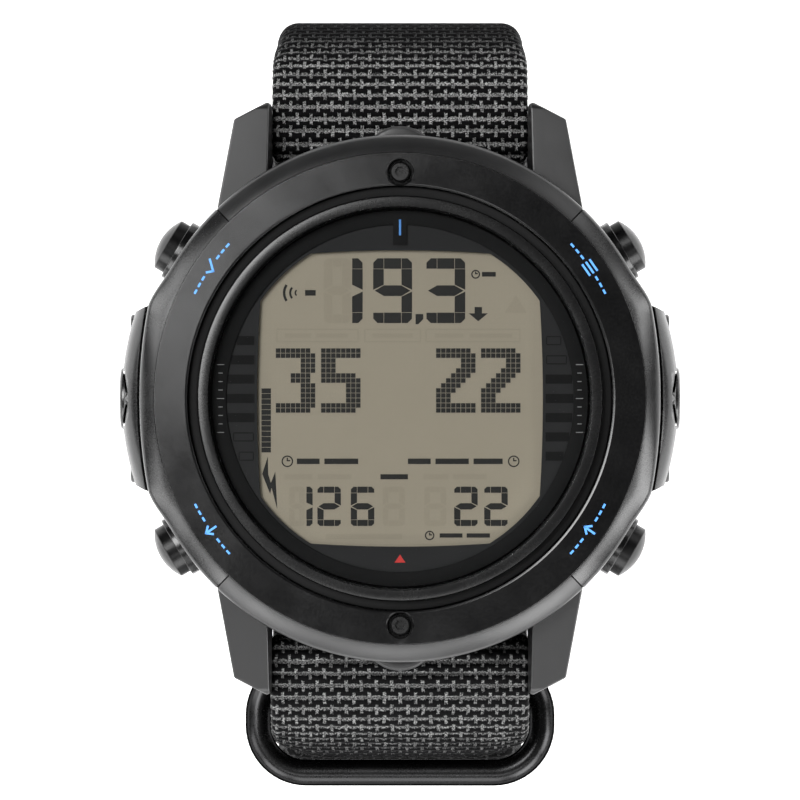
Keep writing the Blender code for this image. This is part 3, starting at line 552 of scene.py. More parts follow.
def floor_material():
    n = Nodes("pale_floor")
    cloud = n.noise(3.0, 2.0)
    n.feed("Base Color", n.colours(cloud, (0.80, 0.80, 0.80), (0.83, 0.83, 0.83)))
    n.surface(Roughness=0.9, Specular_IOR_Level=0.1)
    n.surface(Emission_Color=(1.0, 1.0, 1.0, 1.0), Emission_Strength=0.45)
    return n.mat


BLACK_METAL = grained("black_satin_metal", (0.003, 0.003, 0.0032), 0.25, 0.26, 5200.0, 0.000012, 0.62)
BEZEL_METAL = grained("black_polished_bezel", (0.0018, 0.0018, 0.0019), 0.2, 0.22, 4200.0, 0.000004)
LUG_METAL = grained("black_blasted_metal", (0.0045, 0.0045, 0.0047), 0.3, 0.36, 7000.0, 0.00002, 0.58)
CAP_METAL = grained("black_lacquered_cap", (0.0012, 0.0012, 0.0013), 0.2, 0.3, 4200.0, 0.000004, 0.25)
RING_METAL = grained("black_plated_wire", (0.028, 0.028, 0.0285), 0.1, 0.28, 4200.0, 0.000003, 0.5, 1.0, 0.1)
SCREW_METAL = grained("black_screw_metal", (0.002, 0.002, 0.0021), 0.2, 0.28, 5200.0, 0.000006, 0.6)
STEEL = brushed("brushed_steel", (0.58, 0.58, 0.59), 0.28)
BLACK_PLASTIC = grained("black_moulded_plastic", (0.018, 0.018, 0.019), 0.25, 0.5, 3600.0, 0.00002)
RUBBER = grained("black_rubber_matt", (0.0015, 0.0015, 0.0016), 0.3, 0.6, 3000.0, 0.00003, 0.2)
MASK = grained("mask_print_dark", (0.0125, 0.0125, 0.013), 0.12, 0.6, specular=0.2)
MASK_BLACK = grained("mask_print_black", (0.0015, 0.0015, 0.0016), 0.12, 0.6, specular=0.15)
INK = grained("lcd_segment_dark", (0.013, 0.0125, 0.0115), 0.15, 0.5, specular=0.2)
GHOST = grained("lcd_segment_off", (0.298, 0.262, 0.199), 0.03, 0.5, specular=0.2)
BLUE = grained("print_blue", (0.075, 0.26, 0.66), 0.08, 0.45, 2600.0, 0.000004, 0.3)
RED = grained("print_red", (0.55, 0.03, 0.025), 0.08, 0.45, 2600.0, 0.000004, 0.3)
WHITE = grained("print_white", (0.22, 0.22, 0.22), 0.08, 0.5, 2600.0, 0.000004, 0.3)
RIM = grained("ground_glass_rim", (0.0035, 0.0035, 0.0036), 0.1, 0.26, 4200.0, 0.000004, 0.4)
GLASS = glass_material()
LCD = lcd_material()
WEBBING = webbing_material()
DIFFUSER = grained("white_diffuser_sheet", (0.74, 0.74, 0.71), 0.05, 0.5, 2600.0, 0.00001)
BOARD = grained("green_solder_mask", (0.012, 0.10, 0.04), 0.3, 0.35, 1800.0, 0.00001)
COPPER = brushed("drawn_copper", (0.72, 0.36, 0.20), 0.3)
BRASS = brushed("rolled_brass", (0.70, 0.55, 0.25), 0.3)
CAN = brushed("nickel_can", (0.62, 0.62, 0.60), 0.25)


# ---- case


def shoulder():
    """The rim beside the bezel: a gently bowed slope that ends in a small round edge."""
    out = [(CASE_R, 13.0), (CASE_R - 0.02, 13.3), (CASE_R - 0.08, 13.48)]
    for i in range(9):
        d = 1.56 * (1.0 - i / 8)
        out.append((SHOULDER_R + d, SHOULDER_TOP - 0.36 * d - 0.19 * d * d))
    return out + [(SHOULDER_R, SHOULDER_TOP - 0.1)]


def case_profile():
    lower = fillet([(22.2, 0.8), (22.8, 1.3), (24.2, 4.5), (CASE_R, 8.0), (CASE_R, 12.0)], 3.0, 5, False)
    profile = [(13.8, 1.8), (19.3, 1.8), (19.3, 0.8)] + lower + shoulder()
    profile += [(SHOULDER_R, 12.4), (19.9, 12.4), (19.9, 13.6), (18.0, 13.6), (18.0, 8.0), (13.8, 8.0)]
    return profile


def side_x(y):
    """Where the flatter side of the case runs, seen from above."""
    return FLANK_X - FLANK_BOW * (y / COVER_HALF_Y) ** 2


def swell_sides(obj):
    """Draw the case out a little at three and nine o'clock, so that its sides run flatter than a circle."""
    for vert in obj.data.vertices:
        r = math.hypot(vert.co.x, vert.co.y)
        if r < SIDE_R:
            continue
        deg = math.degrees(math.atan2(abs(vert.co.y), abs(vert.co.x)))
        edge = FLANK_X + 0.75 * (deg / FLANK_DEG) ** 2
        if deg >= FLANK_DEG:
            edge = 25.4 - 0.45 * ease((deg - FLANK_DEG) / 9.0)
        wanted = SIDE_R + (r - SIDE_R) * (edge - SIDE_R) / (CASE_R - SIDE_R)
        vert.co.x *= wanted / r
        vert.co.y *= wanted / r
    return obj


def back_screw_at(degrees):
    return turn_z(degrees) @ Matrix.Translation((BACK_SCREW_R, 0.0, 0.0))


def side_band(side, start, end, low, high):
    """A wall that follows the side of the case between two distances from it."""
    ys = [-9.2 + 18.4 * i / 32 for i in range(33)]
    near = [(side * (side_x(y) + start), y) for y in ys]
    far = [(side * (side_x(y) + end), y) for y in ys]
    return prism(near + far[::-1], low, high)


def case_body():
    obj = swell_sides(lathe(case_profile()))
    for side in (1, -1):
        zone = lathe([(22.6, -2.0), (30.0, -2.0), (30.0, 18.0), (22.6, 18.0)])
        place(zone, turn_z(CUTTER_TURN))
        meet(zone, place(sector(90.0 - SEAM_DEG, 45.0, -3.0, 19.0), half_turn(side)))
        cut(obj, zone)
        cut(obj, box((-12.3, 12.3), tuple(sorted((side * 20.5, side * 30.0))), (-2.0, 8.2)))
        cut(obj, side_band(side, -0.25, 6.0, -2.0, 12.0))
        cut(obj, shifted(disc(0.85, 9.5, 14.0, 24), 0.0, side * BEZEL_SCREW_Y))
        for y in COVER_SCREWS_Y:
            cut(obj, along_x(disc(0.8, 20.8, 26.0, 24), side, y, COVER_SCREW_Z))
    for deg in BACK_SCREW_DEGS:
        cut(obj, place(disc(1.0, 1.0, 5.0, 24), back_screw_at(deg)))
    cut(obj, along_x(disc(2.2, 13.0, 20.8, 32), -1, 0.0, 5.2))
    cut(obj, along_x(disc(0.7, 20.0, 26.0, 24), -1, 0.0, 5.2))
    for sx, sy in QUADRANTS:
        cut(obj, place(disc(3.2, 20.3, 30.0, 64), button_frame(sx, sy)))
        cut(obj, place(disc(1.0, 15.0, 21.0, 24), button_frame(sx, sy)))
    weighted(show(obj, "case_body_shell", BLACK_METAL, "case", ["case_body"]))


def lug_block(sx, sy):
    """One lug: its outline from above met with its outline from the side, chamfered beside the webbing."""
    block = prism([(sx * x, sy * y) for x, y in LUG_OUTLINE], -2.0, 18.0)
    meet(block, skin([(x, sy * y, z) for x in (-20.0, 20.0) for y, z in LUG_SIDE]))
    settle(block)
    chamfer = ((12.0, 7.5), (12.0, 13.0), (12.95, 13.0))
    cut(block, skin([(sx * x, sy * y, z) for y in (10.0, 32.0) for x, z in chamfer]))
    bevel(block, 0.16, 3, 25.0)
    return cut(block, along_x(disc(0.6, 10.0, 14.3, 24), sx, sy * BAR_Y, BAR_Z))


def lug_bridge(name, sy):
    profile = [(21.8, 8.6), (24.75, 8.6), (CASE_R, 8.8)] + shoulder() + [(SHOULDER_R, 12.1), (21.8, 12.1)]
    obj = lathe(profile)
    unite(obj, shifted(disc(3.6, 9.2, 11.8, 96, 0.5), 0.0, sy * 22.2))
    for sx in (1, -1):
        unite(obj, lug_block(sx, sy))
    cut(obj, disc(22.9, -4.0, 12.5, STEPS))
    keep = sector(90.0 - SEAM_DEG - 0.3, 45.0, -3.0, 19.0)
    meet(obj, place(keep, half_turn(sy)))
    weighted(show(obj, name + "_shell", LUG_METAL, "case", [name]))
    for sx in (1, -1):
        seal = bevel(box((22.75, 24.87), (-0.3, 0.3), (8.7, 12.8)), 0.1)
        azimuth = SEAM_DEG + 0.15 if sx > 0 else 180.0 - SEAM_DEG - 0.15
        place(seal, turn_z(azimuth * sy))
        side = "right" if sx > 0 else "left"
        show(seal, f"{name}_seal_{side}", RUBBER, "case")


def bezel():
    profile = fillet(
        [(20.1, 12.6), (23.0, 12.6), (23.22, 12.8), (23.22, 15.0), (BEZEL_IN_R, BEZEL_TOP), (20.1, 15.14)],
        [0.0, 0.0, 0.0, 0.05, 0.1, 0.03],
        4,
    )
    obj = lathe(profile)
    for side in (1, -1):
        at = Matrix.Translation((0.0, side * BEZEL_SCREW_Y, 0.0))
        well = [(0.0, 14.0), (1.2, 14.0), (1.2, 14.95), (1.42, 15.25), (1.42, 17.0), (0.0, 17.0)]
        cut(obj, place(lathe(well, False, 64), at @ turn_z(CUTTER_TURN)))
        cut(obj, place(disc(0.85, 11.0, 15.0, 32), at))
    weighted(show(obj, "bezel_ring", BEZEL_METAL, "case", ["bezel"]))


def screw(head_r, head, shank_r, shank_end, drive_r):
    """A screw with a rounded head, a socket in it and its thread drawn as rings."""
    profile = [(0.0, shank_end), (shank_r, shank_end)]
    turns = max(2, int((head[0] - shank_end) / 0.5))
    pitch = (head[0] - shank_end) / turns
    for i in range(turns):
        z = shank_end + i * pitch
        profile += [(shank_r, z + 0.3 * pitch), (shank_r * 0.84, z + 0.65 * pitch)]
    profile += [(shank_r, head[0]), (head_r, head[0]), (head_r, head[1] - 0.15), (head_r - 0.15, head[1])]
    profile += [(0.0, head[1])]
    obj = lathe(profile, False, 48)
    return cut(obj, prism(circle(drive_r, 6), head[1] - 0.4, head[1] + 1.0))


def screws():
    for name, side in (("bezel_screw_top", 1), ("bezel_screw_bottom", -1)):
        obj = screw(0.95, (14.3, 14.9), 0.55, 10.0, 0.5)
        shifted(obj, 0.0, side * BEZEL_SCREW_Y)
        show(obj, name + "_socket", SCREW_METAL, "case", [name])
    for i, deg in enumerate(BACK_SCREW_DEGS):
        name = f"back_cover_screw_{i + 1}"
        obj = screw(1.4, (-0.75, -0.15), 0.7, -4.6, 0.7)
        place(obj, back_screw_at(deg) @ Matrix.Rotation(math.pi, 4, "X"))
        show(obj, name + "_socket", STEEL, "case", [name])
    for word, side in (("right", 1), ("left", -1)):
        for end, y in zip(("top", "bottom"), COVER_SCREWS_Y):
            name = f"side_cover_screw_{word}_{end}"
            obj = along_x(screw(1.0, (25.0, 25.6), 0.5, 21.4, 0.5), side, y, COVER_SCREW_Z)
            show(obj, name + "_socket", SCREW_METAL, "case", [name])


def side_cover(name, side):
    """Curved cover with a raised hub and two slanted slots behind its outer edge."""
    profile = [(22.0, 2.2), (26.0, 2.2), (26.45, 2.7), (26.45, 8.4), (26.37, 9.3), (26.13, 10.2)]
    profile += [(25.75, 10.95), (25.2, 11.5), (24.7, 11.75), (24.2, 11.8), (22.0, 11.8)]
    obj = lathe(profile)
    ys = [-COVER_HALF_Y + 2.0 * COVER_HALF_Y * i / 32 for i in range(33)]
    outline = [(side * (side_x(y) - 0.15), y) for y in ys]
    outline += [(side * 24.95, 8.3), (side * 28.0, 8.3), (side * 28.0, -8.3), (side * 24.95, -8.3)]
    meet(obj, prism(outline, 1.0, 13.0))
    bevel(obj, 0.08, 2, 50.0)
    cut(obj, side_band(side, -0.3, 0.27, 9.5, 13.0))
    for y in COVER_SCREWS_Y:
        cut(obj, along_x(disc(1.2, 25.0, 30.0, 32), side, y, COVER_SCREW_Z))
        cut(obj, along_x(disc(0.8, 20.0, 30.0, 24), side, y, COVER_SCREW_Z))
    unite(obj, along_x(disc(3.0, 25.2, 26.6, 64, 0.5), side, 0.0, COVER_SCREW_Z))
    for turn in (1, -1):
        slot = box((-0.12, 0.12), (-1.05, 1.05), (3.4, 13.0))
        lean = Matrix.Rotation(math.radians(-9.0 * side * turn), 4, "Z")
        cut(obj, place(slot, Matrix.Translation((side * 26.1, turn * 1.6, 0.0)) @ lean))
    weighted(show(obj, name + "_shell", BLACK_METAL, "case", [name]))


def buttons():
    """Each cap is a stem under a domed head with a pocket for its spring, in a turned collar."""
    for word, (sx, sy) in zip(QUADRANT_NAMES, QUADRANTS):
        cap = [(0.0, 18.9), (0.65, 18.9), (0.65, 24.7), (1.3, 24.7), (1.3, 25.5), (1.95, 25.5)]
        cap += [(1.95, 24.7), (CAP_R, 24.7), (CAP_R, 26.4), (CAP_R - 0.06, 26.47)]
        for degrees in range(34, 0, -4):
            c, s = polar(DOME_R, degrees)
            cap.append((s, CAP_TOP - DOME_R + c))
        cap += [(0.0, CAP_TOP)]
        obj = place(lathe(cap, False, 96), button_frame(sx, sy))
        node = "button_cap_" + word
        show(obj, node + "_dome", CAP_METAL, "button_" + word, [node])
        collar = fillet(
            [(1.0, 20.6), (3.0, 20.6), (3.0, COLLAR_TOP), (2.65, COLLAR_TOP), (2.65, 21.6), (1.0, 21.6)],
            [0.0, 0.0, 0.12, 0.08, 0.0, 0.0],
            3,
        )
        obj = place(lathe(collar, True, 96), button_frame(sx, sy))
        node = "button_collar_" + word
        show(obj, node + "_turned", BEZEL_METAL, "case", [node])


def back_cover():
    profile = [(0.0, 0.0), (10.6, 0.0), (10.75, 0.15), (11.05, 0.15), (11.2, 0.0), (18.6, 0.0)]
    profile += [(19.0, 0.4), (19.0, 1.3), (18.7, 1.6), (0.0, 1.6)]
    obj = lathe(profile, False)
    for deg in BACK_SCREW_DEGS:
        at = back_screw_at(deg)
        cut(obj, place(disc(1.6, -1.0, 0.8, 48), at))
        cut(obj, place(disc(0.9, -1.0, 3.0, 32), at))
    for deg in range(0, 360, 60):
        cut(obj, place(disc(0.7, -1.0, 0.35, 32), turn_z(deg + 15) @ Matrix.Translation((14.0, 0.0, 0.0))))
    weighted(show(obj, "back_cover_turned", STEEL, "case", ["back_cover"]))


# ---- dial


def lens():
    top = 15.9
    profile = [(0.0, 14.0), (18.95, 14.0), (18.95, 14.85), (18.06, 14.85), (18.06, top - 0.15)]
    profile += [(17.9, top), (17.7, top), (0.0, top)]
    show(lathe(profile, False), "lens_glass", GLASS, "case", ["lens"], sharp=20.0)
    rim = lathe(fillet([(18.1, 14.9), (19.05, 14.9), (19.05, 15.54), (18.1, 15.6)], [0, 0, 0.07, 0.07], 3))
    show(rim, "lens_rim", RIM, "case")
    gasket = ring(19.1, 20.0, 13.4, 14.1, 0.15)
    show(gasket, "lens_gasket_round", RUBBER, "case", ["lens_gasket"])


def window_outline(mid_x, end_x, mid_y, end_y, corner_r):
    """A window with slightly bowed sides whose corners follow a circle about the centre."""
    side_y = math.sqrt(corner_r**2 - end_x**2)
    top_x = math.sqrt(corner_r**2 - end_y**2)
    start = math.atan2(side_y, end_x)
    end = math.atan2(end_y, top_x)
    quarter = []
    for i in range(8):
        y = side_y * i / 8
        quarter.append((mid_x - (mid_x - end_x) * (y / side_y) ** 2, y))
    quarter += arc(0.0, 0.0, corner_r, math.degrees(start), math.degrees(end), 12)
    for i in range(7, 0, -1):
        x = top_x * i / 8
        quarter.append((x, mid_y - (mid_y - end_y) * (x / top_x) ** 2))
    upper = quarter + [(0.0, mid_y)] + [(-x, y) for x, y in quarter[::-1]]
    return upper + [(-x, -y) for x, y in upper[1:-1]]


def mask():
    obj = disc(17.7, 13.3, MASK_TOP, STEPS)
    cut(obj, prism(window_outline(13.5, 13.2, 14.0, 13.7, 16.1), 12.0, 15.0))
    show(obj, "dial_mask_plate", MASK, "case", ["dial_mask"])
    edge = ring(16.4, 17.75, MASK_TOP, EDGE_TOP, 0.05)
    show(edge, "dial_edge_ring", MASK_BLACK, "case")
    print_z = (MASK_TOP, MASK_TOP + PRINT)
    edge_z = (EDGE_TOP, EDGE_TOP + PRINT)
    bars = []
    outlines = []
    for side in (1, -1):
        for i in range(7):
            y = 0.0 if i == 3 else 5.47 - 1.82 * i
            low, high = 13.75, math.sqrt(16.38**2 - y * y)
            hollow = (side < 0 and i >= 5) or (side > 0 and i <= 1)
            if not hollow:
                bars.append(box(tuple(sorted((side * low, side * high))), (y - 0.43, y + 0.43), print_z))
                continue
            mid = tuple(sorted((side * (low + 0.1), side * (high - 0.25))))
            for span_y in ((y + 0.33, y + 0.43), (y - 0.43, y - 0.33)):
                outlines.append(box(mid, span_y, print_z))
            for end in mid:
                outlines.append(box((end - 0.05, end + 0.05), (y - 0.33, y + 0.33), print_z))
    bars += outlines
    bars.append(box((-0.66, 0.66), (14.5, 17.5), edge_z))
    show(join(bars), "dial_scale_bars", MASK_BLACK, "case")
    tick = box((-0.1, 0.1), (15.4, 16.9), (edge_z[1], edge_z[1] + PRINT))
    show(tick, "dial_blue_tick", BLUE, "case")
    mark = prism(((-0.52, -15.5), (0.52, -15.5), (0.0, -14.75)), *print_z)
    show(mark, "dial_red_mark", RED, "case")
    ticks = []
    for x in (16.95, -16.95):
        for i in range(9):
            y = 3.2 - 0.8 * i
            wide = 0.34 if i % 4 == 0 else 0.2
            ticks.append(box((x - wide, x + wide), (y - 0.035, y + 0.035), edge_z))
    show(join(ticks), "dial_edge_ticks", WHITE, "case")


SEGMENTS = {
    "1": "tr ur lr br",
    "2": "tl top tr ur mid ll bl bottom br",
    "3": "tl top tr ur mid lr bl bottom br",
    "6": "tl top tr ul mid ll lr bl bottom br",
    "8": "tl top tr ul ur mid ll lr bl bottom br",
    "9": "tl top tr ul ur mid lr bl bottom br",
}
DOTS = {
    "2": """
        #######. ######## .....### .....### ....#### ...####. ..####..
        .####... ####.... ###..... ###..... ######## ########""",
    "3": """
        #######. ######## .....### .....### .....### ...####. ...####.
        .....### .....### .....### .....### ######## #######.""",
    "5": """
        ######## ######## ###..... ###..... ###..... #######. ########
        .....### .....### .....### .....### ######## #######.""",
}


def plate(outline):
    return prism(outline, LCD_TOP, LCD_TOP + PRINT)


def seven_segment(character, x0, y0, w, h, t):
    """The lit segments of one character of width w, height h and stroke t, parted by fine lines."""
    cut_off = 0.42 * t
    mid = h / 2
    shapes = {
        "tl": ((0, h - t), (t, h - t), (t, h), (cut_off, h), (0, h - cut_off)),
        "top": ((t, h - t), (w - t, h - t), (w - t, h), (t, h)),
        "tr": ((w - t, h - t), (w, h - t), (w, h - cut_off), (w - cut_off, h), (w - t, h)),
        "ul": ((0, mid + 0.06), (t, mid + t / 2 + 0.04), (t, h - t), (0, h - t)),
        "ur": ((w, mid + 0.06), (w, h - t), (w - t, h - t), (w - t, mid + t / 2 + 0.04)),
        "mid": (
            (0.14 * t, mid), (t, mid - t / 2), (w - t, mid - t / 2),
            (w - 0.14 * t, mid), (w - t, mid + t / 2), (t, mid + t / 2),
        ),
        "ll": ((0, t), (t, t), (t, mid - t / 2 - 0.04), (0, mid - 0.06)),
        "lr": ((w - t, t), (w, t), (w, mid - 0.06), (w - t, mid - t / 2 - 0.04)),
        "bl": ((0, cut_off), (cut_off, 0), (t, 0), (t, t), (0, t)),
        "bottom": ((t, 0), (w - t, 0), (w - t, t), (t, t)),
        "br": ((w - t, 0), (w - cut_off, 0), (w, cut_off), (w, t), (w - t, t)),
    }
    out = []
    for key in SEGMENTS[character].split():
        outline = shapes[key]
        cx = sum(p[0] for p in outline) / len(outline)
        cy = sum(p[1] for p in outline) / len(outline)
        reach = max(max(abs(p[0] - cx), abs(p[1] - cy)) for p in outline)
        shrink = 1.0 - CELL_GAP / reach
        out.append(plate([(x0 + cx + (x - cx) * shrink, y0 + cy + (y - cy) * shrink) for x, y in outline]))
    return out


def dot_matrix(character, x0, top):
    out = []
    half = CELL / 2 - CELL_GAP
    for r, line in enumerate(DOTS[character].split()):
        for c, mark in enumerate(line):
            if mark == "#":
                x = x0 + CELL * (c + 0.5)
                y = top - CELL * (r + 0.5)
                out.append(bar(x - half, x + half, y - half, y + half))
    return out


def bar(x0, x1, y0, y1):
    return plate(((x0, y0), (x1, y0), (x1, y1), (x0, y1)))


def frame_of(x0, x1, y0, y1, line):
    out = [bar(x0, x1, y0, y0 + line), bar(x0, x1, y1 - line, y1)]
    return out + [bar(x0, x0 + line, y0 + line, y1 - line), bar(x1 - line, x1, y0 + line, y1 - line)]


def bow(cx, cy, radius, half_width, half_deg):
    """A short arc that opens towards +X."""
    start, end = 180.0 - half_deg, 180.0 + half_deg
    outer = arc(cx, cy, radius + half_width, start, end, 10)
    return plate(outer + arc(cx, cy, radius - half_width, end, start, 10))


def clock_sign(cx, cy, radius):
    """A round dial with two hands."""
    rim = shifted(ring(radius - 0.12, radius, LCD_TOP, LCD_TOP + PRINT, 0.0, 32), cx, cy)
    upright = bar(cx - 0.06, cx + 0.06, cy, cy + 0.62 * radius)
    return [rim, upright, bar(cx + 0.06, cx + 0.5 * radius, cy, cy + 0.12)]


def lit_signs():
    """The small signs between the numbers: a sounder, a row of cells, a bolt, dashes, clocks and an arrow."""
    waves = ((1.35, 0.12, 34.0), (0.78, 0.1, 40.0), (0.3, 0.07, 55.0))
    out = [bow(-9.6, 9.98, *wave) for wave in waves]
    out.append(bar(-8.97, -7.97, 9.72, 10.25))
    for i in range(12):
        out.append(bar(-13.1, -12.2, -5.1 + 0.508 * i, -5.1 + 0.508 * i + 0.465))
    bolt = ((-12.49, -5.47), (-13.03, -7.13), (-12.28, -9.01), (-12.14, -8.44))
    bolt += ((-11.6, -10.5), (-11.79, -6.92), (-12.21, -7.97), (-12.46, -7.18))
    out.append(plate(bolt))
    dashes = (
        (-5.94, 0.26, ((-9.75, -7.6), (-7.15, -3.95), (0.75, 2.9), (3.35, 6.5), (6.95, 9.7))),
        (-7.4, 0.24, ((-1.85, 0.75),)),
        (-12.95, 0.2, ((3.75, 5.9), (6.3, 8.5))),
        (11.74, 0.22, ((7.75, 9.05),)),
    )
    for y, half, spans in dashes:
        out += [bar(x0, x1, y - half, y + half) for x0, x1 in spans]
    clocks = ((-10.65, -5.94, 0.55), (10.75, -5.94, 0.55), (2.8, -12.95, 0.45), (7.15, 11.74, 0.42))
    for clock in clocks:
        out += clock_sign(*clock)
    arrow = ((7.4, 7.3), (8.3, 8.05), (7.75, 8.05), (7.75, 8.65), (7.05, 8.65), (7.05, 8.05), (6.5, 8.05))
    return out + [plate(arrow)]


def unlit_signs():
    out = seven_segment("8", -7.22, 7.11, 2.6, 6.16, 0.85)
    for x in (-1.64, 2.28, -10.49):
        out += seven_segment("8", x, -12.07, 1.5 if x < -10 else 2.1, 3.75, 0.55)
    for x0, x1 in ((-11.7, -3.9), (-3.4, 2.0), (2.4, 11.4)):
        out += frame_of(x0, x1, 5.3, 6.6, 0.14)
    for x0, x1 in ((-10.9, -8.4), (-7.9, -4.9), (-2.6, 1.2), (3.3, 6.0), (6.6, 10.6)):
        out.append(bar(x0, x1, 5.75, 6.15))
    out.append(plate(((9.9, 8.1), (12.0, 8.1), (10.95, 9.8))))
    for x0, x1 in ((-11.0, -8.3), (-7.8, -4.6), (2.2, 4.6), (5.0, 8.2)):
        out.append(bar(x0, x1, -7.65, -7.15))
    return out + [bar(-7.0, 0.2, -13.3, -12.8)]


def display():
    panel = prism(window_outline(14.0, 13.9, 14.5, 14.4, 17.4), 12.1, LCD_TOP)
    show(panel, "lcd_panel_glass", LCD, "case", ["lcd_panel"])
    lit = []
    for character, x in (("1", -7.22), ("9", -2.55), ("3", 2.48)):
        lit += seven_segment(character, x, 7.11, 3.7, 6.16, 1.02)
    lit.append(plate(((1.47, 7.98), (1.47, 7.02), (1.72, 7.02), (2.2, 7.5), (2.2, 7.98))))
    for character, x in (("3", -11.76), ("5", -7.48), ("2", 3.39), ("2", 7.64)):
        lit += dot_matrix(character, x, 4.76)
    for character, x in (("1", -10.49), ("2", -7.82), ("6", -4.66), ("2", 5.11), ("2", 7.95)):
        lit += seven_segment(character, x, -12.07, 2.24, 3.75, 0.61)
    show(join(lit + lit_signs()), "lcd_lit_segments", INK, "case")
    show(join(unlit_signs()), "lcd_unlit_segments", GHOST, "case")


def bezel_height(x, y):
    """The bezel's sloping face, with the print standing just proud of it."""
    return BEZEL_TOP - 0.0685 * (math.hypot(x, y) - BEZEL_IN_R) + 0.006


def stroke(points, half_width, azimuth, radius, turn):
    """A printed line on the bezel, drawn flat about the origin and laid on the sloping face."""
    spin = Matrix.Rotation(math.radians(turn), 2)
    centre = Vector(polar(radius, azimuth))
    verts = []
    faces = []
    for (x0, y0), (x1, y1) in zip(points, points[1:]):
        d = Vector((x1 - x0, y1 - y0))
        count = max(1, int(d.length / 0.5))
        side = Vector((-d.y, d.x)).normalized() * half_width
        along = d.normalized() * half_width
        start = Vector((x0, y0)) - along
        end = Vector((x1, y1)) + along
        base = len(verts)
        for i in range(count + 1):
            p = start.lerp(end, i / count)
            for q in (p + side, p - side):
                w = spin @ q + centre
                verts.append((w.x, w.y, bezel_height(w.x, w.y)))
                verts.append((w.x, w.y, bezel_height(w.x, w.y) - 0.03))
        for i in range(count):
            b = base + 4 * i
            faces += [(b, b + 4, b + 6, b + 2), (b + 1, b + 3, b + 7, b + 5)]
            faces += [(b, b + 1, b + 5, b + 4), (b + 2, b + 6, b + 7, b + 3)]
        b = base + 4 * count
        faces += [(base, base + 2, base + 3, base + 1), (b, b + 1, b + 3, b + 2)]
    return mesh_object("stroke", verts, faces)


SIGN_R = 21.75
SIGN_HALF = 0.1


def bezel_signs():
    """Four small blue signs, one by each button: a tick, three bars, an arrow down and an arrow up."""
    three_bars = tuple([(-0.55, y), (0.55, y)] for y in (0.42, 0.0, -0.42))
    signs = {
        "upper_left": (145.4, ([(-0.55, 0.0), (-0.12, -0.42), (0.6, 0.45)],)),
        "upper_right": (34.6, three_bars),
        "lower_left": (214.8, ([(0.0, 0.55), (0.0, -0.5)], [(-0.42, -0.05), (0.0, -0.52), (0.42, -0.05)])),
        "lower_right": (325.2, ([(0.0, -0.55), (0.0, 0.5)], [(-0.42, 0.05), (0.0, 0.52), (0.42, 0.05)])),
    }
    for word, (azimuth, lines) in signs.items():
        upright = azimuth - 90.0 if azimuth < 180.0 else azimuth + 90.0
        pieces = [stroke(line, SIGN_HALF, azimuth, SIGN_R, upright) for line in lines]
        for side in (-1, 1):
            for step in range(3):
                at = azimuth + side * (3.2 + 1.9 * step)
                pieces.append(stroke([(-0.12, 0.0), (0.12, 0.0)], SIGN_HALF, at, SIGN_R, at - 90.0))
        show(join(pieces), f"bezel_sign_{word}", BLUE, "case")


# ---- strap


def smooth(points, count):
    padded = [points[0]] + list(points) + [points[-1]]
    out = []
    for i in range(1, len(padded) - 2):
        p0, p1, p2, p3 = (Vector(p) for p in padded[i - 1 : i + 3])
        for k in range(count):
            t = k / count
            mixed = 2 * p1 + (p2 - p0) * t + (2 * p0 - 5 * p1 + 4 * p2 - p3) * t * t
            mixed += (3 * p1 - p0 - 3 * p2 + p3) * t**3
            out.append(tuple(mixed * 0.5))
    out.append(tuple(points[-1]))
    return out


def stack_arcs(offset, first_deg, last_deg, count):
    """The curve that the layers beside the buckle share, at an offset outwards from it."""
    c1y, c1z, r1 = 14.2, 15.05, 13.2
    r2 = 18.0
    t = math.radians(28.0)
    c2y = c1y + (r1 - r2) * math.sin(t)
    c2z = c1z - (r1 - r2) * math.cos(t)
    out = []
    for i in range(count + 1):
        deg = first_deg + (last_deg - first_deg) * i / count
        a = math.radians(deg)
        if deg <= 28.0:
            out.append((c1y + (r1 + offset) * math.sin(a), c1z - (r1 + offset) * math.cos(a)))
        else:
            out.append((c2y + (r2 + offset) * math.sin(a), c2z - (r2 + offset) * math.cos(a)))
    return out


def main_path():
    """The middle line of the long webbing: round the buckle, up, under the case, down and round again."""
    hy, hz = HINGE_BAR
    points = stack_arcs(-2.95, 26.0, 17.0, 3)
    points += arc(hy, hz, 2.1, 48.0, 270.0, 24)
    points += stack_arcs(-1.05, 4.0, 64.0, 20)
    rise = ((29.1, 14.5), (31.3, 20.2), (33.5, 26.0), (35.1, 31.0), (35.6, 35.2), (35.1, 39.2))
    rise += ((33.4, 43.4), (31.0, 46.5), (28.8, 48.0), (26.8, 48.5))
    points += smooth(rise, 8)
    top = BACK_Z + BAR_Z
    points += arc(BAR_Y, top, 2.0, 90.0, 180.0, 12)
    points += arc(21.3, 42.9, 2.0, 0.0, -90.0, 12)
    points += arc(-21.3, 42.9, 2.0, -90.0, -180.0, 12)
    points += arc(-BAR_Y, top, 2.0, 0.0, 90.0, 12)
    fall = ((-26.8, 48.5), (-28.8, 48.0), (-30.9, 46.3), (-32.8, 42.7), (-33.6, 39.5), (-34.0, 36.8))
    fall += ((-34.4, 31.0), (-34.1, 24.5), (-31.8, 16.5), (-27.5, 9.2), (-22.0, 4.1), (-17.0, 1.5))
    fall += ((-13.0, 0.8),)
    points += smooth(fall, 8)
    points += smooth(((-3.0, 0.8), (-1.8, 1.2), (-0.2, 2.9), (1.0, 4.2)), 6)
    fy, fz = FRONT_BAR
    points += arc(fy, fz, 2.2, 125.0, 55.0, 8)
    points += smooth(((5.5, 3.8), (7.8, 1.9), (9.2, 1.0), (10.4, 0.8)), 6)
    points += stack_arcs(1.05, 0.0, 67.0, 24)
    return points


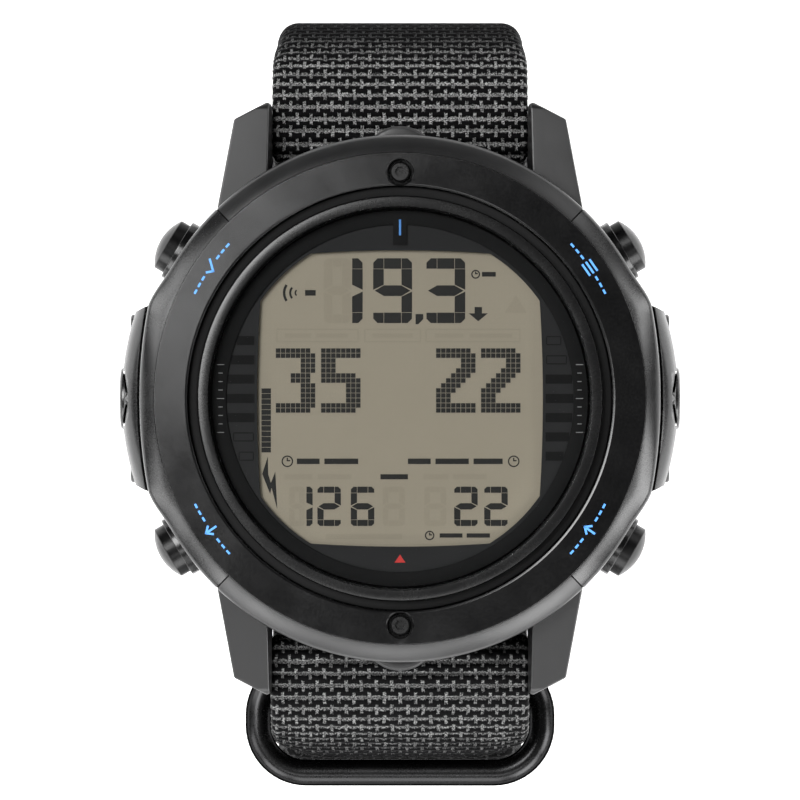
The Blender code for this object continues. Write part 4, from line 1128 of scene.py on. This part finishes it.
def under_path():
    """The middle line of the short webbing that lies under the case and is folded round the ring."""
    points = [(28.3, 18.0), (30.6, 23.8)]
    points += arc(26.0, 31.9, 7.2, -22.0, 90.0, 24)
    points += arc(RING_BAR_Y, RING_Z, 2.15, 90.0, 262.0, 20)
    points += smooth(((-24.5, 35.2), (-21.5, 36.9), (-19.0, 37.4), (-12.0, 37.4)), 8)
    return points


def ease(t):
    t = max(0.0, min(1.0, t))
    return t * t * (3.0 - 2.0 * t)


def main_pinch(y, z):
    wider = 0.16 if y > 0.0 else 0.3
    pinch = 0.25 * ease((abs(y) - 31.5) / 4.0) - wider * ease((z - 39.0) / 4.0)
    if y > -30.0:
        return pinch
    return pinch + MAIN_PINCH * (1.0 - ease(abs(z - RING_Z) / MAIN_PINCH_REACH))


def under_pinch(y, _):
    """The short webbing narrows only by where it is along Y."""
    return UNDER_PINCH * ease((-17.0 - y) / PINCH_REACH)


def crown(y, z, u):
    """How far the edges of the webbing sag inwards where it turns down."""
    start, depth, flat = 10.0, 1.1, 0.12
    if y < 0.0:
        start, depth = 7.5, 1.4 * ease((z - 33.0) / 4.0)
        flat = 0.3 * (1.0 - ease(abs(z - RING_Z) / 3.5))
    outer = np.maximum(0.0, (np.abs(u) - start) / (STRAP_HALF_X - start))
    return ease((abs(y) - 30.5) / 4.5) * (flat + depth * outer**2)


FINE_STEP = 0.05


def sample(points, spacing):
    """Points and unit normals along a path; spacing says how far apart they are at a place."""
    kept = [Vector(points[0])]
    for p in points[1:]:
        if (Vector(p) - kept[-1]).length > 0.15:
            kept.append(Vector(p))
    lengths = [0.0]
    for a, b in zip(kept, kept[1:]):
        lengths.append(lengths[-1] + (b - a).length)
    fine = np.arange(0.0, lengths[-1], FINE_STEP)
    ys = np.interp(fine, lengths, [p.x for p in kept])
    zs = np.interp(fine, lengths, [p.y for p in kept])
    reach = 9
    kernel = np.hanning(2 * reach + 1)
    kernel /= kernel.sum()
    ends = lambda values: np.concatenate(([values[0]] * reach, values, [values[-1]] * reach))
    ys = np.convolve(ends(ys), kernel, "valid")
    zs = np.convolve(ends(zs), kernel, "valid")
    ty = np.gradient(ys)
    tz = np.gradient(zs)
    size = np.hypot(ty, tz)
    stations = [0.0]
    while stations[-1] < fine[-1]:
        i = min(len(fine) - 1, int(stations[-1] / FINE_STEP))
        stations.append(stations[-1] + spacing(ys[i], zs[i]))
    stations = np.array(stations)
    stations *= fine[-1] / stations[-1]
    if len(stations) % 2 == 0:
        stations = np.append(stations[:-1], [(stations[-2] + stations[-1]) / 2, stations[-1]])
    take = lambda values: np.interp(stations, fine, values)
    return stations, take(ys), take(zs), take(tz / size), take(-ty / size)


def rounded(rise):
    """A quarter-round edge: 0 at its foot, 1 at its top."""
    return np.sqrt(rise * (2.0 - rise))


def weave_height(u, v):
    """How far the yarn stands up, from 0 in the light dashes to 1 on the dark ribs."""
    row = v / WEAVE_V
    k = np.round(row)
    t = np.abs(row - k) * WEAVE_V
    column = u * (1.0 + WEAVE_CROWD * u * u) / WEAVE_U + 0.5 * np.mod(k, 2) + 0.5
    across = np.abs(column - np.floor(column) - 0.5) * WEAVE_U
    start = DASH_HALF * 0.7
    rise = np.clip((t - start) / (WEAVE_V / 2 - start), 0.0, 1.0)
    tick = np.clip(1.5 - across / (TICK_HALF * 1.7), 0.0, 1.0) * np.clip((WEAVE_V / 2 - t) / 0.12, 0.0, 1.0)
    return rounded(rise) * (1.0 - 0.5 * tick)


def grid(first, rows, wide):
    """Four-sided faces over rows of points."""
    corners = [first + r * wide + c for r in range(rows - 1) for c in range(wide - 1)]
    return [(a, a + 1, a + wide + 1, a + wide) for a in corners]


def woven_ribbon(path, thickness, pinch, spacing, columns, node):
    """Webbing along a path: a finely woven outer face over a plainer inner one, in one closed skin."""
    v, y, z, ny, nz = sample(path, spacing)
    rows = len(v)
    u = np.linspace(-STRAP_HALF_X, STRAP_HALF_X, columns + 1)
    narrow = np.array([(STRAP_HALF_X - pinch(a, b)) / STRAP_HALF_X for a, b in zip(y, z)])
    uu, vv = np.meshgrid(u, v)
    height = weave_height(uu, vv)
    round_off = rounded(np.clip((STRAP_HALF_X - np.abs(uu)) / 0.7, 0.0, 1.0))
    round_off *= rounded(np.clip(np.minimum(vv - v[0], v[-1] - vv) / 0.5, 0.0, 1.0)) * 0.85 + 0.15
    half = thickness / 2
    outer = (half - WEAVE_DEEP) * (0.12 + 0.88 * round_off) + WEAVE_HIGH * height * (0.35 + 0.65 * round_off)
    outer -= np.array([crown(a, b, u) for a, b in zip(y, z)])
    wave = 0.04 * np.cos(2 * math.pi * vv / WEAVE_V) * (np.abs(uu) > STRAP_HALF_X - 0.6)
    xx = uu * narrow[:, None] + np.sign(uu) * wave
    verts = np.stack([xx, (y + ny * outer.T).T, (z + nz * outer.T).T], -1).reshape(-1, 3)
    # the inner face has fewer points: every so many of the outer face's columns and rows
    step_c, step_r = 4, 2
    uc = u[::step_c]
    sel = slice(0, rows, step_r)
    u2, v2 = np.meshgrid(uc, v[sel])
    inner = -(half - 0.06) * (0.2 + 0.8 * rounded(np.clip((STRAP_HALF_X - np.abs(u2)) / 0.9, 0.0, 1.0)))
    inner -= np.array([crown(a, b, uc) for a, b in zip(y[sel], z[sel])])
    x2 = u2 * narrow[sel][:, None]
    back = np.stack([x2, (y[sel] + ny[sel] * inner.T).T, (z[sel] + nz[sel] * inner.T).T], -1)
    first = len(verts)
    verts = np.concatenate([verts, back.reshape(-1, 3)])
    wide, wide2, rows2 = columns + 1, len(uc), len(v[sel])
    faces = grid(0, rows, wide) + [(a, d, c, b) for a, b, c, d in grid(first, rows2, wide2)]
    # the edges and the ends join the two faces
    for r in range(rows2 - 1):
        a = r * step_r
        left = [(a + i) * wide for i in range(step_r, -1, -1)]
        faces.append((*left, first + r * wide2, first + (r + 1) * wide2)[::-1])
        right = [(a + i) * wide + columns for i in range(step_r, -1, -1)]
        faces.append((*right, first + r * wide2 + wide2 - 1, first + (r + 1) * wide2 + wide2 - 1))
    for c in range(wide2 - 1):
        a = c * step_c
        low = [a + i for i in range(step_c + 1)]
        faces.append((*low, first + c + 1, first + c)[::-1])
        high = [(rows - 1) * wide + a + i for i in range(step_c + 1)]
        back_row = first + (rows2 - 1) * wide2
        faces.append((*high, back_row + c + 1, back_row + c))
    mesh = bpy.data.meshes.new(node)
    mesh.from_pydata(verts.tolist(), [], faces)
    mesh.update()
    uv = np.concatenate([np.stack([uu, vv], -1).reshape(-1, 2), np.stack([u2, v2], -1).reshape(-1, 2)])
    layer = mesh.uv_layers.new(name="weave")
    corner = np.zeros(len(mesh.loops), np.int32)
    mesh.loops.foreach_get("vertex_index", corner)
    layer.data.foreach_set("uv", uv[corner].astype(np.float32).ravel())
    obj = link(bpy.data.objects.new(node, mesh))
    show(obj, node + "_woven", WEBBING, "case", [node], lifted=False, sharp=75.0)


def fine_near_lugs(y, z):
    return 0.165 if abs(y) > 20.0 and z > 34.0 else 0.235


def strap():
    woven_ribbon(main_path(), MAIN_T, main_pinch, fine_near_lugs, 124, "strap_main")
    woven_ribbon(under_path(), UNDER_T, under_pinch, lambda y, z: 0.235, 108, "strap_under")


def stitch_row(path, v0, thickness, face):
    """A row of short thread stitches across the webbing."""
    v, y, z, ny, nz = sample(path, lambda a, b: 0.2)
    i = int(np.argmin(np.abs(v - v0)))
    offset = face * (thickness / 2 + 0.1)
    at = Vector((0.0, y[i] + ny[i] * offset, z[i] + nz[i] * offset))
    along = Vector((0.0, -nz[i], ny[i]))
    out = Vector((0.0, ny[i], nz[i])) * face
    pieces = []
    for k in range(13):
        middle = at + Vector((-10.2 + 1.7 * k, 0.0, 0.0))
        points = []
        for t in (-0.5, -0.25, 0.0, 0.25, 0.5):
            leaning = middle + Vector((1.25 * t, 0.0, 0.0)) + along * 0.25 * t
            points.append(leaning + out * (0.14 - 0.75 * t * t))
        pieces.append(tube(points, 0.12, False, 2))
    return pieces


def stitching():
    """Thread that sews the folded end of the strap at the buckle."""
    pieces = stitch_row(main_path(), 2.2, MAIN_T, -1) + stitch_row(main_path(), 3.8, MAIN_T, -1)
    show(join(pieces), "strap_fold_stitches", BLACK_PLASTIC, "case", (), False)


# ---- rings and buckle


def tube(points, radius, closed, sides=4):
    curve = bpy.data.curves.new("tube", "CURVE")
    curve.dimensions = "3D"
    curve.bevel_depth = radius
    curve.bevel_resolution = sides
    curve.use_fill_caps = not closed
    spline = curve.splines.new("POLY")
    spline.points.add(len(points) - 1)
    for i, p in enumerate(points):
        spline.points[i].co = (*p, 1.0)
    spline.use_cyclic_u = closed
    return settle(link(bpy.data.objects.new("tube", curve)))


def ring_path(half_x, half_d, corner, y, z, deg):
    """A rounded rectangle across the strap, tipped by deg about the X axis."""
    out = []
    for cx, cd, start in ((1, 1, 0), (-1, 1, 90), (-1, -1, 180), (1, -1, 270)):
        for x, d in arc(cx * (half_x - corner), cd * (half_d - corner), corner, start, start + 90.0, 14):
            out.append((x, *polar(d, deg, y, z)))
    return out


def rings():
    half_x, half_d = RING_HALF_X - RING_WIRE_R, RING_HALF_D - RING_WIRE_R
    obj = tube(ring_path(half_x, half_d, RING_CORNER_R, RING_Y, RING_Z, 0.0), RING_WIRE_R, True, 14)
    show(obj, "strap_ring_wire", RING_METAL, "ring", ["strap_ring"], False, 60.0)
    for body, (y, z, slope) in KEEPERS.items():
        node = body.replace("keeper", "keeper_ring")
        half_x = KEEPER_HALF_X - KEEPER_WIRE_R
        points = ring_path(half_x, KEEPER_HALF_D - KEEPER_WIRE_R, KEEPER_CORNER_R, y, z, slope - 90.0)
        obj = tube(points, KEEPER_WIRE_R, True, 8)
        show(obj, node + "_wire", RING_METAL, body, [node], False, 60.0)
    hy, hz = HINGE_BAR
    fy, fz = FRONT_BAR
    length = math.hypot(hy - fy, hz - fz)
    deg = math.degrees(math.atan2(hz - fz, hy - fy))
    points = ring_path(BUCKLE_HALF_X, length / 2, 1.6, (hy + fy) / 2, (hz + fz) / 2, deg)
    obj = tube(points, BUCKLE_WIRE_R, True, 8)
    show(obj, "buckle_frame_wire", RING_METAL, "buckle", ["buckle_frame"], False, 60.0)
    eye = lathe(fillet([(1.2, -0.8), (1.8, -0.8), (1.8, 0.8), (1.2, 0.8)], 0.15, 3), True, 64)
    along_x(eye, 1, hy, hz)
    path = smooth(((hy - 1.4, hz - 0.3), (10.3, 4.0), (7.8, 2.6), (5.2, 1.1), (3.0, 0.85), (1.4, 0.85)), 6)
    unite(eye, tube([(0.0, y, z) for y, z in path], PRONG_R, False, 6))
    show(eye, "buckle_prong_wire", STEEL, "prong", ["buckle_prong"], False, 60.0)


# ---- nodes kept as they are


def kept_nodes():
    looks = {
        "lcd_frame": BLACK_PLASTIC,
        "backlight_panel": DIFFUSER,
        "main_board": BOARD,
        "antenna_coil": COPPER,
        "piezo_buzzer": BRASS,
        "battery": CAN,
        "battery_holder": BLACK_PLASTIC,
    }
    for name in ("zebra_strip_top", "zebra_strip_bottom", "back_cover_o_ring"):
        looks[name] = RUBBER
    steel = ["pressure_sensor", "battery_contact_plus", "battery_contact_minus"]
    steel += ["spring_bar_top", "spring_bar_bottom"]
    for word in QUADRANT_NAMES:
        steel += ["button_spring_" + word, "spring_bar_tip_" + word]
    for name in steel:
        looks[name] = STEEL
    for name, mat in looks.items():
        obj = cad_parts[name]
        obj.data.materials.clear()
        obj.data.materials.append(mat)


# ---- studio


LIGHT_AIM = Vector((0.0, 0.0, 0.045))


def area_light(name, azimuth, elevation, distance, size, power):
    """A soft light at an angle round the object, aimed at it; size is (wide, tall)."""
    data = bpy.data.lights.new(name, "AREA")
    data.shape = "RECTANGLE"
    data.size, data.size_y = size
    data.energy = power
    light = link(bpy.data.objects.new(name, data))
    flat, up = polar(1.0, elevation)
    out = Vector((*polar(flat, azimuth), up))
    light.location = LIGHT_AIM + distance * out
    light.rotation_euler = (-out).to_track_quat("-Z", "Y").to_euler()


def studio():
    world = bpy.data.worlds.new("studio_world")
    world.use_nodes = True
    sky = world.node_tree.nodes["Background"]
    sky.inputs["Color"].default_value = (1.0, 1.0, 1.0, 1.0)
    sky.inputs["Strength"].default_value = 0.02
    bpy.context.scene.world = world
    floor = mesh_object("floor", [(x, y, 0.0) for x, y in circle(3.0, 64)], [tuple(range(64))])
    floor.data.materials.append(floor_material())
    area_light("key_upper_left", 150.0, 64.0, 1.1, (0.5, 0.5), 11.0)
    area_light("front_high", 270.0, 66.0, 1.1, (0.6, 0.16), 1.6)
    # soft walls of light round the sides: azimuth, width, power
    walls = ((20.0, 0.20, 2.6), (340.0, 0.34, 5.4), (305.0, 0.40, 6.6), (268.0, 0.34, 3.2))
    walls += ((235.0, 0.36, 4.6), (203.0, 0.26, 2.6), (158.0, 0.30, 3.0), (50.0, 0.22, 0.9))
    for azimuth, wide, power in walls:
        area_light(f"wall_{azimuth:.0f}", azimuth, 26.0, 0.9, (wide, 0.55), power)


def camera():
    data = bpy.data.cameras.new("camera")
    data.sensor_width = 36.0
    data.lens = 429.3
    data.shift_y = -0.0019
    data.clip_start = 0.05
    data.clip_end = 20.0
    data.dof.use_dof = False
    eye = link(bpy.data.objects.new("camera", data))
    eye.location = (0.0, 0.0, 0.957)
    eye.rotation_euler = (0.0, 0.0, 0.0)
    bpy.context.scene.camera = eye
    bpy.context.scene.view_settings.view_transform = "Standard"


case_body()
lug_bridge("lug_bridge_top", 1)
lug_bridge("lug_bridge_bottom", -1)
bezel()
screws()
side_cover("side_cover_right", 1)
side_cover("side_cover_left", -1)
buttons()
back_cover()
lens()
mask()
display()
bezel_signs()
strap()
stitching()
rings()
kept_nodes()
studio()
camera()
